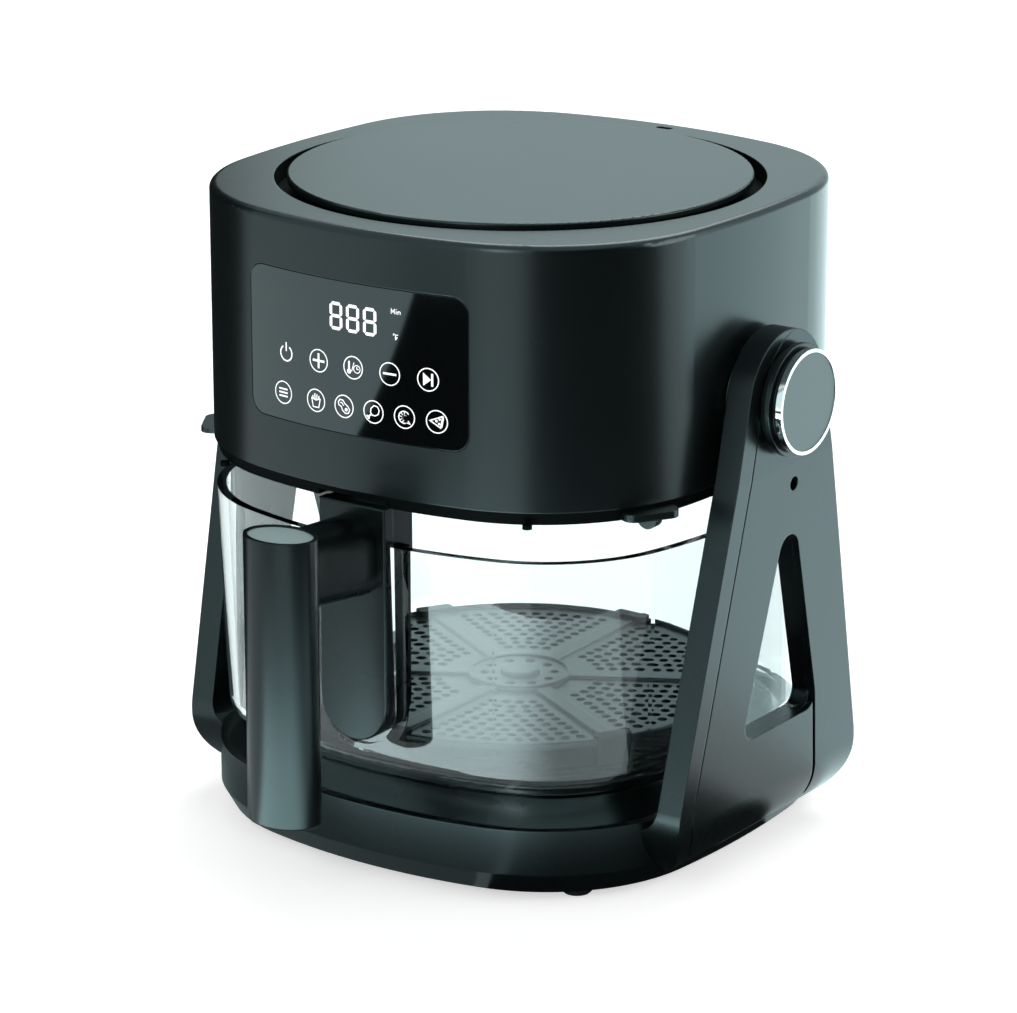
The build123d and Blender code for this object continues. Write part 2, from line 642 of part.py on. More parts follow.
def cover_skin(side, gap, depth):
    """Outer skin of the arm block, as deep as the cover, under a cover sketch."""
    half = PIVOT_HEIGHT
    skin = front_sketch(arm_front_view() - arm_front_view(depth), -half, half)
    start = 0 if side > 0 else -ARM_OUTER - 1
    reach = side_sketch(cover_sketch(gap), start, start + ARM_OUTER + 1)
    limit = ARM_INNER - ARM_LEAN_TOP * math.tan(math.radians(ARM_LEAN))
    clear = block(-limit, limit, -half, half, 0, 4 * half)
    return (skin & reach) - clear


def cover_pocket(side):
    return cover_skin(side, TRIM_GAP, COVER_THICKNESS)


def make_arm_cover(side):
    """Outer panel of one arm with the window, the small hole and the split beside the rear leg."""
    cover = cover_skin(side, 0, COVER_THICKNESS)
    cover -= window_solid(side, 0)
    cover -= along_x(ARM_HOLE_RADIUS, side * ARM_INNER, side * (ARM_OUTER + 1), ARM_HOLE_Y, ARM_HOLE_Z)
    cover -= along_x(AXLE_RADIUS + RUNNING_FIT + BUSH_WALL, side * ARM_INNER, side * (ARM_OUTER + 1))
    reach = (WINDOW_BOTTOM + WINDOW_CORNER - FRAME_BOTTOM) / math.cos(math.radians(COVER_SLOT_SLOPE))
    slot_z = (WINDOW_BOTTOM + WINDOW_CORNER + FRAME_BOTTOM) / 2
    slot = Pos(COVER_SLOT_Y, slot_z) * Rot(0, 0, COVER_SLOT_SLOPE) * Rectangle(COVER_SLOT_WIDTH, 2 * reach)
    below = Pos(0, WINDOW_BOTTOM - 2 * ARM_OUTER + WINDOW_CORNER) * Rectangle(4 * ARM_OUTER, 4 * ARM_OUTER)
    start = ARM_INNER if side > 0 else -ARM_OUTER - 1
    cut = side_sketch(slot & below, start, start + ARM_OUTER - ARM_INNER + 1)
    cover -= cut - block(-4 * ARM_OUTER, 4 * ARM_OUTER, -ARM_OUTER, ARM_OUTER, -1, FRAME_BOTTOM + COVER_THICKNESS)
    return cover


def gland_solid(gap):
    y = BASE_PLAN[1]
    place = Pos(0, y - BASE_WALL, GLAND_Z) * Rot(90, 0, 0)
    return place * Cylinder(GLAND_RADIUS + gap, 4 * BASE_WALL)


def make_bottom_cover():
    plan = outline(BASE_PLAN, COVER_INSET + SEAT_GAP)
    plate = prism(plan, FRAME_BOTTOM, FRAME_BOTTOM + COVER_PLATE)
    for one in screw_solids(SEAT_GAP):
        plate -= one
    return plate


def screw_solids(gap=0.0):
    screws = []
    for x, y in SCREW_PLACES:
        head = disc(SCREW_RADIUS + gap, FRAME_BOTTOM - 0.2 * (gap > 0), FRAME_BOTTOM + SCREW_HEAD, x, y)
        stem = disc(SCREW_RADIUS / 2 + gap, FRAME_BOTTOM + SCREW_HEAD, FRAME_BOTTOM + COVER_PLATE, x, y)
        screw = head + stem
        screws += four_corners(screw) if x else [screw, mirror(screw, Plane.XZ)]
    return screws


def make_feet():
    x, y = FOOT_PLACE
    foot = disc(FOOT_RADIUS, 0, FRAME_BOTTOM, x, y)
    foot = chamfer(foot.faces().sort_by(Axis.Z)[0].edges(), FOOT_EDGE)
    return Compound(children=four_corners(foot))


def make_gland():
    y = BASE_PLAN[1]
    body = Pos(0, y - BASE_WALL / 2 + GLAND_REACH / 2, GLAND_Z) * Rot(90, 0, 0)
    shape = body * Cylinder(GLAND_RADIUS, BASE_WALL + GLAND_REACH + 2)
    bore = body * Cylinder(GLAND_RADIUS / 2, BASE_WALL + GLAND_REACH + 2)
    return shape - bore


def make_bushes():
    inner = AXLE_RADIUS + RUNNING_FIT
    bush = along_x(inner + BUSH_WALL, ARM_INNER, ARM_OUTER) - along_x(inner, ARM_INNER - 1, ARM_OUTER + 1)
    return both_sides(bush)


def make_axles():
    """Stub axles with a hub flange against the head."""
    axle = along_x(AXLE_RADIUS, AXLE_INNER_END, axle_end())
    axle += along_x(HUB_RADIUS, BOSS_FACE, BOSS_FACE + HUB_THICKNESS)
    return both_sides(axle)


def make_knob_collars():
    """Stepped black collars that hold the axles outside the arms."""
    start = ARM_OUTER + SEAT_GAP
    ring_start = KNOB_FACE - KNOB_RING_THICKNESS
    flange_start = start + KNOB_BASE_THICKNESS
    collar = along_x(KNOB_BASE_RADIUS, start, flange_start)
    collar += along_x(KNOB_FLANGE_RADIUS, flange_start, flange_start + KNOB_FLANGE_THICKNESS)
    collar += along_x(KNOB_NECK_RADIUS, flange_start, ring_start)
    collar += along_x(KNOB_RING_RADIUS - KNOB_RING_WALL, ring_start, knob_cap_inner())
    collar -= along_x(AXLE_RADIUS, start, axle_end())
    return both_sides(collar)


def axle_end():
    return ARM_OUTER + SEAT_GAP + KNOB_BASE_THICKNESS


def knob_cap_inner():
    return KNOB_FACE - KNOB_CAP_SETBACK - KNOB_CAP_THICKNESS


def make_knob_rings():
    start = KNOB_FACE - KNOB_RING_THICKNESS
    inner = KNOB_RING_RADIUS - KNOB_RING_WALL
    rim = along_x(KNOB_RING_RADIUS, start, KNOB_FACE) - along_x(inner, start - 1, KNOB_FACE + 1)
    low = PIVOT_HEIGHT - KNOB_RING_RADIUS
    width = KNOB_RING_NOTCH / 2
    y = -KNOB_RING_RADIUS
    notch_z = PIVOT_HEIGHT - KNOB_RING_RADIUS / 3
    rim -= block(start, start + KNOB_RING_WALL, y - 1, y + 3, notch_z - width, notch_z + width)
    return both_sides(rim)


def make_knob_caps():
    inner = knob_cap_inner()
    cap = along_x(KNOB_RING_RADIUS - KNOB_RING_WALL, inner, inner + KNOB_CAP_THICKNESS)
    return both_sides(cap)


def make_bowl():
    """Drafted glass drawer with a round-cornered floor and a flat recess behind the handle."""
    height = BOWL_RIM - BOWL_BOTTOM
    shrink = height * math.tan(math.radians(BOWL_DRAFT))
    body = Pos(0, 0, BOWL_BOTTOM) * extrude(outline(BOWL_PLAN, shrink), height, taper=-BOWL_DRAFT)
    body = fillet(body.faces().sort_by(Axis.Z)[0].edges(), BOWL_CORNER)
    plate_back = -PLATE_FRONT + PLATE_THICKNESS
    body -= recess_block(plate_back, HANDLE_RECESS_WIDTH / 2, HANDLE_RECESS_BOTTOM)
    floor = BOWL_BOTTOM + GLASS
    depth = BOWL_RIM - floor
    shrink_in = depth * math.tan(math.radians(BOWL_DRAFT))
    hollow = Pos(0, 0, floor) * extrude(outline(BOWL_PLAN, shrink_in + GLASS), depth, taper=-BOWL_DRAFT)
    hollow = fillet(hollow.faces().sort_by(Axis.Z)[0].edges(), BOWL_INNER_CORNER)
    hollow -= recess_block(plate_back + GLASS, HANDLE_RECESS_WIDTH / 2 + GLASS, HANDLE_RECESS_BOTTOM - GLASS)
    return body - hollow


def recess_block(depth_y, half_width, bottom):
    """Room in front of a flat place at depth_y, round at its lower end."""
    shape = Pos(0, bottom + half_width + BOWL_RIM / 2) * Rectangle(2 * half_width, BOWL_RIM)
    shape += Pos(0, bottom + half_width) * Circle(half_width)
    return front_sketch(shape, -2 * BOWL_PLAN[1], depth_y)


def plate_sketch(width, bottom, top):
    radius = width / 2
    shape = Pos(0, (bottom + radius + top) / 2) * Rectangle(width, top - bottom - radius)
    return shape + Pos(0, bottom + radius) * Circle(radius)


def make_handle_plate():
    """Outer plate of the handle, flat on top and round below."""
    sketch = plate_sketch(PLATE_WIDTH, PLATE_BOTTOM, PLATE_TOP)
    plate = front_sketch(sketch, -PLATE_FRONT, -PLATE_FRONT + PLATE_THICKNESS)
    plate = chamfer(plate.faces().sort_by(Axis.Y)[0].edges(), 0.6)
    for one in handle_screw_bores():
        plate -= one
    return plate


def make_handle_clamp():
    """Bridge over the glass rim and the clamp inside the bowl."""
    back = -CLAMP_BACK
    inner_front = -PLATE_FRONT + PLATE_THICKNESS + GLASS
    sketch = plate_sketch(CLAMP_WIDTH, CLAMP_BOTTOM, BOWL_RIM + SEAT_GAP)
    clamp = front_sketch(sketch, inner_front, back)
    half = CLAMP_WIDTH / 2
    bridge_top = PLATE_TOP - BRIDGE_DROP
    clamp += block(-half, half, -PLATE_FRONT + PLATE_THICKNESS, back, BOWL_RIM + SEAT_GAP / 2, bridge_top)
    for one in handle_screw_bores():
        clamp -= one
    return clamp


def handle_screw_bores():
    start = -PLATE_FRONT + PLATE_THICKNESS / 3
    end = -CLAMP_BACK
    bar = Pos(0, (start + end) / 2, HANDLE_SCREW_Z) * Rot(90, 0, 0) * Cylinder(HANDLE_SCREW_RADIUS, end - start)
    return [Pos(-HANDLE_SCREW_X, 0, 0) * bar, Pos(HANDLE_SCREW_X, 0, 0) * bar]


def grip_bar(inset, low, high):
    face = Ellipse(GRIP_HALF_X - inset, GRIP_HALF_Y - inset)
    return Pos(0, -GRIP_Y, low) * extrude(face, high - low)


def make_grip_shell():
    """Front part of the upright grip."""
    grip = grip_bar(0, GRIP_BOTTOM, GRIP_TOP)
    grip = fillet(grip.faces().sort_by(Axis.Z)[0].edges(), 1.0)
    split = -GRIP_Y + GRIP_SPLIT
    grip -= block(-GRIP_HALF_X, GRIP_HALF_X, split, split + GRIP_HALF_Y, GRIP_BOTTOM - 1, GRIP_TOP + 1)
    grip -= grip_bar(GRIP_WALL, GRIP_BOTTOM + GRIP_WALL, GRIP_TOP + 1)
    return grip


def make_grip_back():
    """Rear strip of the grip with the inner spine and the neck to the plate."""
    grip = grip_bar(0, GRIP_BOTTOM + GRIP_SEAM, GRIP_TOP)
    split = -GRIP_Y + GRIP_SPLIT + GRIP_SEAM
    strip = grip & block(-GRIP_HALF_X, GRIP_HALF_X, split, split + GRIP_HALF_Y, GRIP_BOTTOM, GRIP_TOP)
    spine = grip_bar(GRIP_WALL + GRIP_SEAM / 2, GRIP_BOTTOM + GRIP_WALL, grip_cap_level())
    strip = strip - grip_bar(GRIP_WALL, grip_cap_level(), GRIP_TOP)
    near = Pos(0, NECK_Z) * neck_sketch(0)
    far = Pos(0, NECK_Z + NECK_RISE) * neck_sketch(NECK_SLIM)
    ends = [Plane.XZ.offset(PLATE_FRONT) * near, Plane.XZ.offset(GRIP_Y - GRIP_SPLIT) * far]
    neck = loft(ends, ruled=True)
    return strip + spine + neck


def neck_sketch(slim):
    half = NECK_HALF_X - slim
    return RectangleRounded(2 * half, NECK_HEIGHT - slim, half - 0.5)


def grip_cap_level():
    return GRIP_TOP - GRIP_CAP_THICKNESS - GRIP_CAP_SETBACK


def make_grip_cap():
    low = grip_cap_level()
    return grip_bar(GRIP_WALL / 2 + GRIP_SEAM, low, low + GRIP_CAP_THICKNESS)


def cap_room():
    return grip_bar(GRIP_WALL / 2 + GRIP_SEAM, grip_cap_level(), GRIP_TOP + 1)


def make_rack():
    """Round perforated rack with six raised ribs between a lipped hub and the rim."""
    low = RACK_TOP - RACK_SHEET
    hub_top = RACK_TOP + RACK_HUB_RISE
    plate = disc(RACK_RADIUS, low, RACK_TOP)
    plate += ring(RACK_RADIUS, RACK_RADIUS - RACK_RIM_WALL, RACK_TOP, RACK_TOP + RACK_RIM_HEIGHT)
    half = RACK_CHANNEL_WIDTH / 2
    rib = block(0, RACK_RADIUS - RACK_RIM_WALL / 2, -half, half, low, RACK_TOP + RACK_CHANNEL_HEIGHT)
    for place in PolarLocations(0, RACK_CHANNELS):
        plate += place * rib
    plate += disc(RACK_HUB_RADIUS, low, hub_top)
    plate -= disc(RACK_HUB_RADIUS - RACK_HUB_LIP, RACK_TOP + RACK_HUB_RISE / 2, hub_top)
    plate -= disc(RACK_BUTTON_RADIUS + SEAT_GAP, RACK_TOP, hub_top)
    plate -= rack_holes(low, hub_top)
    for place in bumper_places():
        plate -= place * bumper(low - 1, RACK_TOP + RACK_RIM_HEIGHT + 1)
    return plate


def rack_holes(low, high):
    """Rows of holes between the ribs, as many in a row as fit at the pitch, and a ring of them in the hub."""
    hole = prism(RegularPolygon(RACK_HOLE_RADIUS, RACK_HOLE_SIDES), low, high)
    holes = [place * hole for place in PolarLocations(RACK_HUB_HOLE_CIRCLE, RACK_HUB_HOLES)]
    step = 360 / RACK_CHANNELS
    last_row = RACK_RADIUS - RACK_LAST_ROW_INSET
    for row in range(RACK_HOLE_ROWS):
        radius = RACK_FIRST_ROW + (last_row - RACK_FIRST_ROW) * row / (RACK_HOLE_ROWS - 1)
        clear = math.degrees((RACK_CHANNEL_WIDTH / 2 + RACK_HOLE_RADIUS) / radius)
        count = round(math.radians(step - 2 * clear) * radius / RACK_HOLE_PITCH)
        for sector in range(RACK_CHANNELS):
            for k in range(count):
                angle = sector * step + clear + (step - 2 * clear) * (k + 0.5) / count
                holes.append(Rot(0, 0, angle) * Pos(radius, 0, 0) * hole)
    return holes


def bumper_places():
    return PolarLocations(BUMPER_CIRCLE, RACK_CHANNELS)


def bumper(low, high):
    return prism(RectangleRounded(*BUMPER_SIZE, BUMPER_ROUND), low, high)


def make_rack_button():
    button = disc(RACK_BUTTON_RADIUS, RACK_TOP, RACK_TOP + RACK_BUTTON_RISE)
    return fillet(button.faces().sort_by(Axis.Z)[-1].edges(), 1.2)


def make_rack_bumpers():
    """Silicone blocks at the rib ends that stand on the bowl floor."""
    foot = bumper(BOWL_BOTTOM + GLASS + SEAT_GAP, RACK_TOP + RACK_RIM_HEIGHT + 1)
    return Compound(children=[place * foot for place in bumper_places()])


def make_seat_ring():
    return ring(SEAT_RING_RADIUS, SEAT_RING_RADIUS - SEAT_RING_WIDTH, SEAT_TOP, SEAT_TOP + SEAT_RING_HEIGHT)


def pan_top():
    return HEAD_BOTTOM + PAN_THICKNESS


def make_reflector():
    """Pressed metal dish over the heating element."""
    base = pan_top()
    sheet = REFLECTOR_SHEET
    points = [
        (SHAFT_RADIUS * 2, REFLECTOR_TOP - sheet),
        (REFLECTOR_TOP_RADIUS, REFLECTOR_TOP - sheet),
        (REFLECTOR_MOUTH_RADIUS, base + GUARD_THICKNESS),
        (REFLECTOR_FLANGE_RADIUS, base + GUARD_THICKNESS),
        (REFLECTOR_FLANGE_RADIUS, base + GUARD_THICKNESS + sheet),
        (REFLECTOR_MOUTH_RADIUS + sheet, base + GUARD_THICKNESS + sheet),
        (REFLECTOR_TOP_RADIUS + sheet, REFLECTOR_TOP),
        (SHAFT_RADIUS * 2, REFLECTOR_TOP),
    ]
    return revolve(Plane.XZ * Polygon(*points, align=None), Axis.Z)


def make_guard():
    """Ring and spoke guard that closes the chamber mouth."""
    low = pan_top()
    guard = ring(REFLECTOR_FLANGE_RADIUS, CHAMBER_RADIUS - GUARD_RIM, low, low + GUARD_THICKNESS)
    for k in range(GUARD_RINGS):
        radius = GUARD_FIRST_RADIUS + k * GUARD_PITCH
        guard += ring(radius, radius - GUARD_RING_WIDTH, low, low + GUARD_THICKNESS)
    half = GUARD_SPOKE_WIDTH / 2
    inner = GUARD_FIRST_RADIUS - GUARD_RING_WIDTH / 2
    spoke = block(inner, CHAMBER_RADIUS - GUARD_RIM / 2, -half, half, low, low + GUARD_THICKNESS)
    for place in PolarLocations(0, GUARD_SPOKES):
        guard += place * spoke
    return guard


def make_element():
    """Sheathed heating tube wound as a flat spiral of half turns, each wider than the last."""
    edges = []
    end_x = ELEMENT_FIRST_RADIUS
    sign = 1
    for k in range(ELEMENT_HALF_TURNS):
        radius = ELEMENT_FIRST_RADIUS + k * ELEMENT_PITCH / 2
        start_x = sign * end_x
        centre = start_x - sign * radius
        stop_x = centre - sign * radius
        edges.append(ThreePointArc((start_x, 0), (centre, sign * radius), (stop_x, 0)))
        end_x = abs(stop_x)
        sign = -sign
    path = Pos(0, 0, ELEMENT_LEVEL) * Wire(edges)
    start = path @ 0
    tube = RegularPolygon(ELEMENT_RADIUS, ELEMENT_SIDES, rotation=180 / ELEMENT_SIDES, major_radius=False)
    section = Plane(origin=start, z_dir=path % 0) * tube
    return sweep(section, path=path)


def make_clips():
    """Metal clips that hang the heating tube under the reflector."""
    clips = []
    top = REFLECTOR_TOP - REFLECTOR_SHEET
    reach = ELEMENT_FIRST_RADIUS + ELEMENT_PITCH * ELEMENT_HALF_TURNS / 2
    half = CLIP_WIDTH / 2
    bar_low = ELEMENT_LEVEL + ELEMENT_RADIUS
    inner = ELEMENT_FIRST_RADIUS - CLIP_OVERHANG
    bar = block(inner, reach + CLIP_WIDTH, -half, half, bar_low, bar_low + CLIP_THICKNESS)
    clip = bar + block(reach, reach + CLIP_WIDTH, -half, half, bar_low, top)
    for k in range(CLIP_COUNT):
        clips.append(Rot(0, 0, 60 + 360 / CLIP_COUNT * k) * clip)
    return Compound(children=clips)


def make_fan(radius, level, height, blades, hub):
    """Backing plate with upright radial blades."""
    fan = disc(radius, level, level + FAN_PLATE)
    fan += disc(hub, level, level + height)
    for k in range(blades):
        blade = block(hub - 1, radius - 1, -FAN_BLADE / 2, FAN_BLADE / 2, level, level + height)
        fan += Rot(0, 0, 360 / blades * k) * blade
    return fan - disc(SHAFT_RADIUS, level - 1, level + height + 1)


def make_motor():
    """Round motor can with end boss."""
    can = disc(MOTOR_RADIUS, MOTOR_BOTTOM, MOTOR_TOP)
    can = fillet(can.faces().sort_by(Axis.Z)[-1].edges(), 3)
    return can - disc(SHAFT_RADIUS + RUNNING_FIT, MOTOR_BOTTOM - 1, MOTOR_TOP + 1)


def make_motor_bracket():
    top = MOTOR_BOTTOM
    plate = ring(BRACKET_RADIUS, SHAFT_RADIUS * 3, top - BRACKET_THICKNESS, top)
    for place in PolarLocations(BRACKET_LEG_CIRCLE, BRACKET_LEGS):
        plate += place * disc(BRACKET_LEG_RADIUS, REFLECTOR_TOP, top - BRACKET_THICKNESS)
    return plate


def sensor_place():
    return Pos(-REFLECTOR_TOP_RADIUS + SENSOR_INSET, 0, 0)


def make_sensor():
    """Temperature probe through the reflector."""
    probe = disc(SENSOR_RADIUS, REFLECTOR_TOP - SENSOR_LENGTH, REFLECTOR_TOP)
    return sensor_place() * (probe + disc(SENSOR_HEAD_RADIUS, REFLECTOR_TOP, REFLECTOR_TOP + SENSOR_HEAD_HEIGHT))


def sensor_hole():
    return sensor_place() * disc(SENSOR_RADIUS, REFLECTOR_TOP - 2 * REFLECTOR_SHEET, REFLECTOR_TOP)


NODES = {}


def add(name, shape):
    NODES[name] = shape


def build():
    add("base_frame", make_base_frame())
    add("arm_cover_right", make_arm_cover(1))
    add("arm_cover_left", make_arm_cover(-1))
    add("bottom_cover", make_bottom_cover())
    add("cover_screws", Compound(children=screw_solids()))
    add("base_feet", make_feet())
    add("cord_gland", make_gland())
    add("pivot_bushes", make_bushes())
    add("bowl_seat_ring", make_seat_ring())
    add("head_shell", make_head_shell())
    add("head_skirt", make_skirt())
    add("inlet_grille", make_inlet_grille())
    add("inlet_cap", make_inlet_cap())
    add("control_panel", panel_solid())
    add("control_board", make_control_board())
    add("heat_reflector", make_reflector() - sensor_hole())
    add("heater_guard", make_guard())
    add("heating_element", make_element())
    add("element_clips", make_clips())
    add("fan_motor", make_motor())
    add("motor_bracket", make_motor_bracket())
    add("temperature_sensor", make_sensor())
    add("head_tab_right", make_right_tab())
    add("head_tab_left", mirror(make_tab(LEFT_TAB_THICKNESS), Plane.YZ))
    add("pivot_axles", make_axles())
    add("knob_collars", make_knob_collars())
    add("knob_rings", make_knob_rings())
    add("knob_caps", make_knob_caps())
    add("motor_shaft", disc(SHAFT_RADIUS, SHAFT_BOTTOM, SHAFT_TOP))
    add("hot_air_fan", make_fan(HOT_FAN_RADIUS, HOT_FAN_LEVEL, HOT_FAN_HEIGHT, HOT_FAN_BLADES, FAN_HUB_RADIUS))
    add("cooling_fan", make_fan(COOL_FAN_RADIUS, COOL_FAN_LEVEL, COOL_FAN_HEIGHT, COOL_FAN_BLADES, FAN_HUB_RADIUS))
    add("glass_bowl", make_bowl())
    add("handle_plate", make_handle_plate())
    add("handle_clamp", make_handle_clamp())
    add("handle_screws", Compound(children=handle_screw_bores()))
    add("grip_shell", make_grip_shell() - cap_room())
    add("grip_back", make_grip_back() - cap_room())
    add("grip_cap", make_grip_cap())
    add("crisper_rack", make_rack())
    add("rack_button", make_rack_button())
    add("rack_bumpers", make_rack_bumpers())
    os.makedirs("parts", exist_ok=True)
    for name, shape in NODES.items():
        export_step(shape, f"parts/{name}.step")


build()
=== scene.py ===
import bpy
import bmesh
import json
import math
from mathutils import Vector, Matrix

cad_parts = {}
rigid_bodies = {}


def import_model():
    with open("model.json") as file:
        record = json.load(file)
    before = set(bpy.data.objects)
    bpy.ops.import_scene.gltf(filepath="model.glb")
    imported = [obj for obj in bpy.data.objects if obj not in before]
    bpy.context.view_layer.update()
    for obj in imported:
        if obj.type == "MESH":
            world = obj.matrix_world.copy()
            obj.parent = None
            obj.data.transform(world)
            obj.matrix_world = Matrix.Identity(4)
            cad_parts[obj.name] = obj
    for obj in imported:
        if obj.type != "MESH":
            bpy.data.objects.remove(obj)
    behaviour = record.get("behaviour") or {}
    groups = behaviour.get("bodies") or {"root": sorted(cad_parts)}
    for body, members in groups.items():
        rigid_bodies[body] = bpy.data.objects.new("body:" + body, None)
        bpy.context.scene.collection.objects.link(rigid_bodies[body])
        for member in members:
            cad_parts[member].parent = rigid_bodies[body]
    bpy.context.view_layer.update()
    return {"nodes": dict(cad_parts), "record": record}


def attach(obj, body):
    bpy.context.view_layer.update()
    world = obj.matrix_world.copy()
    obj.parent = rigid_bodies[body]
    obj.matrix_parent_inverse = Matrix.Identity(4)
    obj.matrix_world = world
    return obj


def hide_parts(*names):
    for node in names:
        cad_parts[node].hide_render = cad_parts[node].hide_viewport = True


for left_over in list(bpy.data.objects):
    bpy.data.objects.remove(left_over)
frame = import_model()
nodes = frame["nodes"]
MM = 0.001

# Sizes shared with the solids, in millimetres
HEAD_FRONT_BOW = 248.0
HEAD_FRONT = -119.5
RACK_RADIUS = 92.7
RACK_TOP = 55.7
RACK_SHEET = 1.4
RACK_RIM_WALL = 2.0
RIB_COUNT = 6
RIB_START = 30.0
RIB_WIDTH = 9.0
RIB_HEIGHT = 1.2
HUB_RADIUS = 22.5
HUB_HOLES = 10
HUB_HOLE_RADIUS = 2.1
HUB_HOLE_CIRCLE = 15.0
BUTTON_SEAT = 8.8
FOOT_LOW = 45.9
FOOT_TOP = 58.5
FOOT_HALF = (3.0, 8.0)
FOOT_CORNER = 1.8
FOOT_INSET = 2.4

# Rows of round holes between the ribs
FIRST_ROW, LAST_ROW = 36.0, 82.0
HOLE_ROWS = 9
HOLE_PITCH = 6.55
HOLE_RADIUS = 2.15
HOLE_TO_RIB = 0.4

# Levels and sizes of the marks on the panel
DIGIT_LEVEL, FIRST_DIGIT, DIGIT_PITCH = 240.2, -6.6, 8.4
DIGIT_SIZE, DIGIT_LINE = (6.5, 11.6), 1.35
UPPER_KEYS, LOWER_KEYS = 220.0, 203.1
PRINT_THICKNESS, PRINT_LIFT = 0.05, 0.02


def link(tree, source, target):
    tree.links.new(source, target)


def add_node(tree, kind, **values):
    node = tree.nodes.new(kind)
    for name, value in values.items():
        setattr(node, name, value)
    return node


def new_group(name, inputs, outputs):
    """Node group with named sockets: inputs and outputs are (name, type, default) and (name, type)."""
    group = bpy.data.node_groups.new(name, "ShaderNodeTree")
    for label, kind, default in inputs:
        socket = group.interface.new_socket(name=label, in_out="INPUT", socket_type=kind)
        socket.default_value = default
    for label, kind in outputs:
        group.interface.new_socket(name=label, in_out="OUTPUT", socket_type=kind)
    return group, add_node(group, "NodeGroupInput"), add_node(group, "NodeGroupOutput")


def make_moulded_grain():
    """Fine texture of moulded or painted surfaces, with slow tone and gloss drift."""
    group, given, result = new_group(
        "moulded_grain",
        [
            ("Colour", "NodeSocketColor", (0.02, 0.02, 0.02, 1)),
            ("Roughness", "NodeSocketFloat", 0.4),
            ("Grain per metre", "NodeSocketFloat", 2500.0),
            ("Tone drift", "NodeSocketFloat", 0.12),
            ("Gloss drift", "NodeSocketFloat", 0.05),
        ],
        [("Colour", "NodeSocketColor"), ("Roughness", "NodeSocketFloat"), ("Height", "NodeSocketFloat")],
    )
    place = add_node(group, "ShaderNodeTexCoord")
    grain = add_node(group, "ShaderNodeTexNoise")
    grain.inputs["Detail"].default_value = 3
    link(group, place.outputs["Object"], grain.inputs["Vector"])
    link(group, given.outputs["Grain per metre"], grain.inputs["Scale"])
    drift = add_node(group, "ShaderNodeTexNoise")
    drift.inputs["Scale"].default_value = 14
    drift.inputs["Detail"].default_value = 4
    link(group, place.outputs["Object"], drift.inputs["Vector"])
    centred = add_node(group, "ShaderNodeMath", operation="SUBTRACT")
    centred.inputs[1].default_value = 0.5
    link(group, drift.outputs["Fac"], centred.inputs[0])
    tone = add_node(group, "ShaderNodeMath", operation="MULTIPLY")
    link(group, centred.outputs[0], tone.inputs[0])
    link(group, given.outputs["Tone drift"], tone.inputs[1])
    lift = add_node(group, "ShaderNodeMath", operation="ADD")
    lift.inputs[1].default_value = 1.0
    link(group, tone.outputs[0], lift.inputs[0])
    shade = add_node(group, "ShaderNodeVectorMath", operation="SCALE")
    link(group, given.outputs["Colour"], shade.inputs[0])
    link(group, lift.outputs[0], shade.inputs["Scale"])
    gloss = add_node(group, "ShaderNodeMath", operation="MULTIPLY_ADD")
    link(group, centred.outputs[0], gloss.inputs[0])
    link(group, given.outputs["Gloss drift"], gloss.inputs[1])
    link(group, given.outputs["Roughness"], gloss.inputs[2])
    link(group, shade.outputs[0], result.inputs["Colour"])
    link(group, gloss.outputs[0], result.inputs["Roughness"])
    link(group, grain.outputs["Fac"], result.inputs["Height"])
    return group


def make_brushed_lines():
    """Fine straight scratches of drawn or turned metal along one object axis."""
    group, given, result = new_group(
        "brushed_lines",
        [
            ("Colour", "NodeSocketColor", (0.5, 0.5, 0.5, 1)),
            ("Roughness", "NodeSocketFloat", 0.3),
            ("Stretch", "NodeSocketVector", (40.0, 1500.0, 1500.0)),
        ],
        [("Colour", "NodeSocketColor"), ("Roughness", "NodeSocketFloat"), ("Height", "NodeSocketFloat")],
    )
    place = add_node(group, "ShaderNodeTexCoord")
    stretch = add_node(group, "ShaderNodeVectorMath", operation="MULTIPLY")
    link(group, place.outputs["Object"], stretch.inputs[0])
    link(group, given.outputs["Stretch"], stretch.inputs[1])
    lines = add_node(group, "ShaderNodeTexNoise")
    lines.inputs["Scale"].default_value = 1
    lines.inputs["Detail"].default_value = 2
    link(group, stretch.outputs[0], lines.inputs["Vector"])
    shade = add_node(group, "ShaderNodeMapRange")
    shade.inputs["To Min"].default_value = 0.86
    shade.inputs["To Max"].default_value = 1.1
    link(group, lines.outputs["Fac"], shade.inputs["Value"])
    scaled = add_node(group, "ShaderNodeVectorMath", operation="SCALE")
    link(group, given.outputs["Colour"], scaled.inputs[0])
    link(group, shade.outputs["Result"], scaled.inputs["Scale"])
    gloss = add_node(group, "ShaderNodeMath", operation="MULTIPLY_ADD")
    gloss.inputs[1].default_value = 0.08
    link(group, lines.outputs["Fac"], gloss.inputs[0])
    link(group, given.outputs["Roughness"], gloss.inputs[2])
    link(group, scaled.outputs[0], result.inputs["Colour"])
    link(group, gloss.outputs[0], result.inputs["Roughness"])
    link(group, lines.outputs["Fac"], result.inputs["Height"])
    return group


GRAIN = make_moulded_grain()
BRUSHED = make_brushed_lines()


def start_material(name):
    material = bpy.data.materials.new(name)
    material.use_nodes = True
    tree = material.node_tree
    shader = next(n for n in tree.nodes if n.type == "BSDF_PRINCIPLED")
    return material, tree, shader


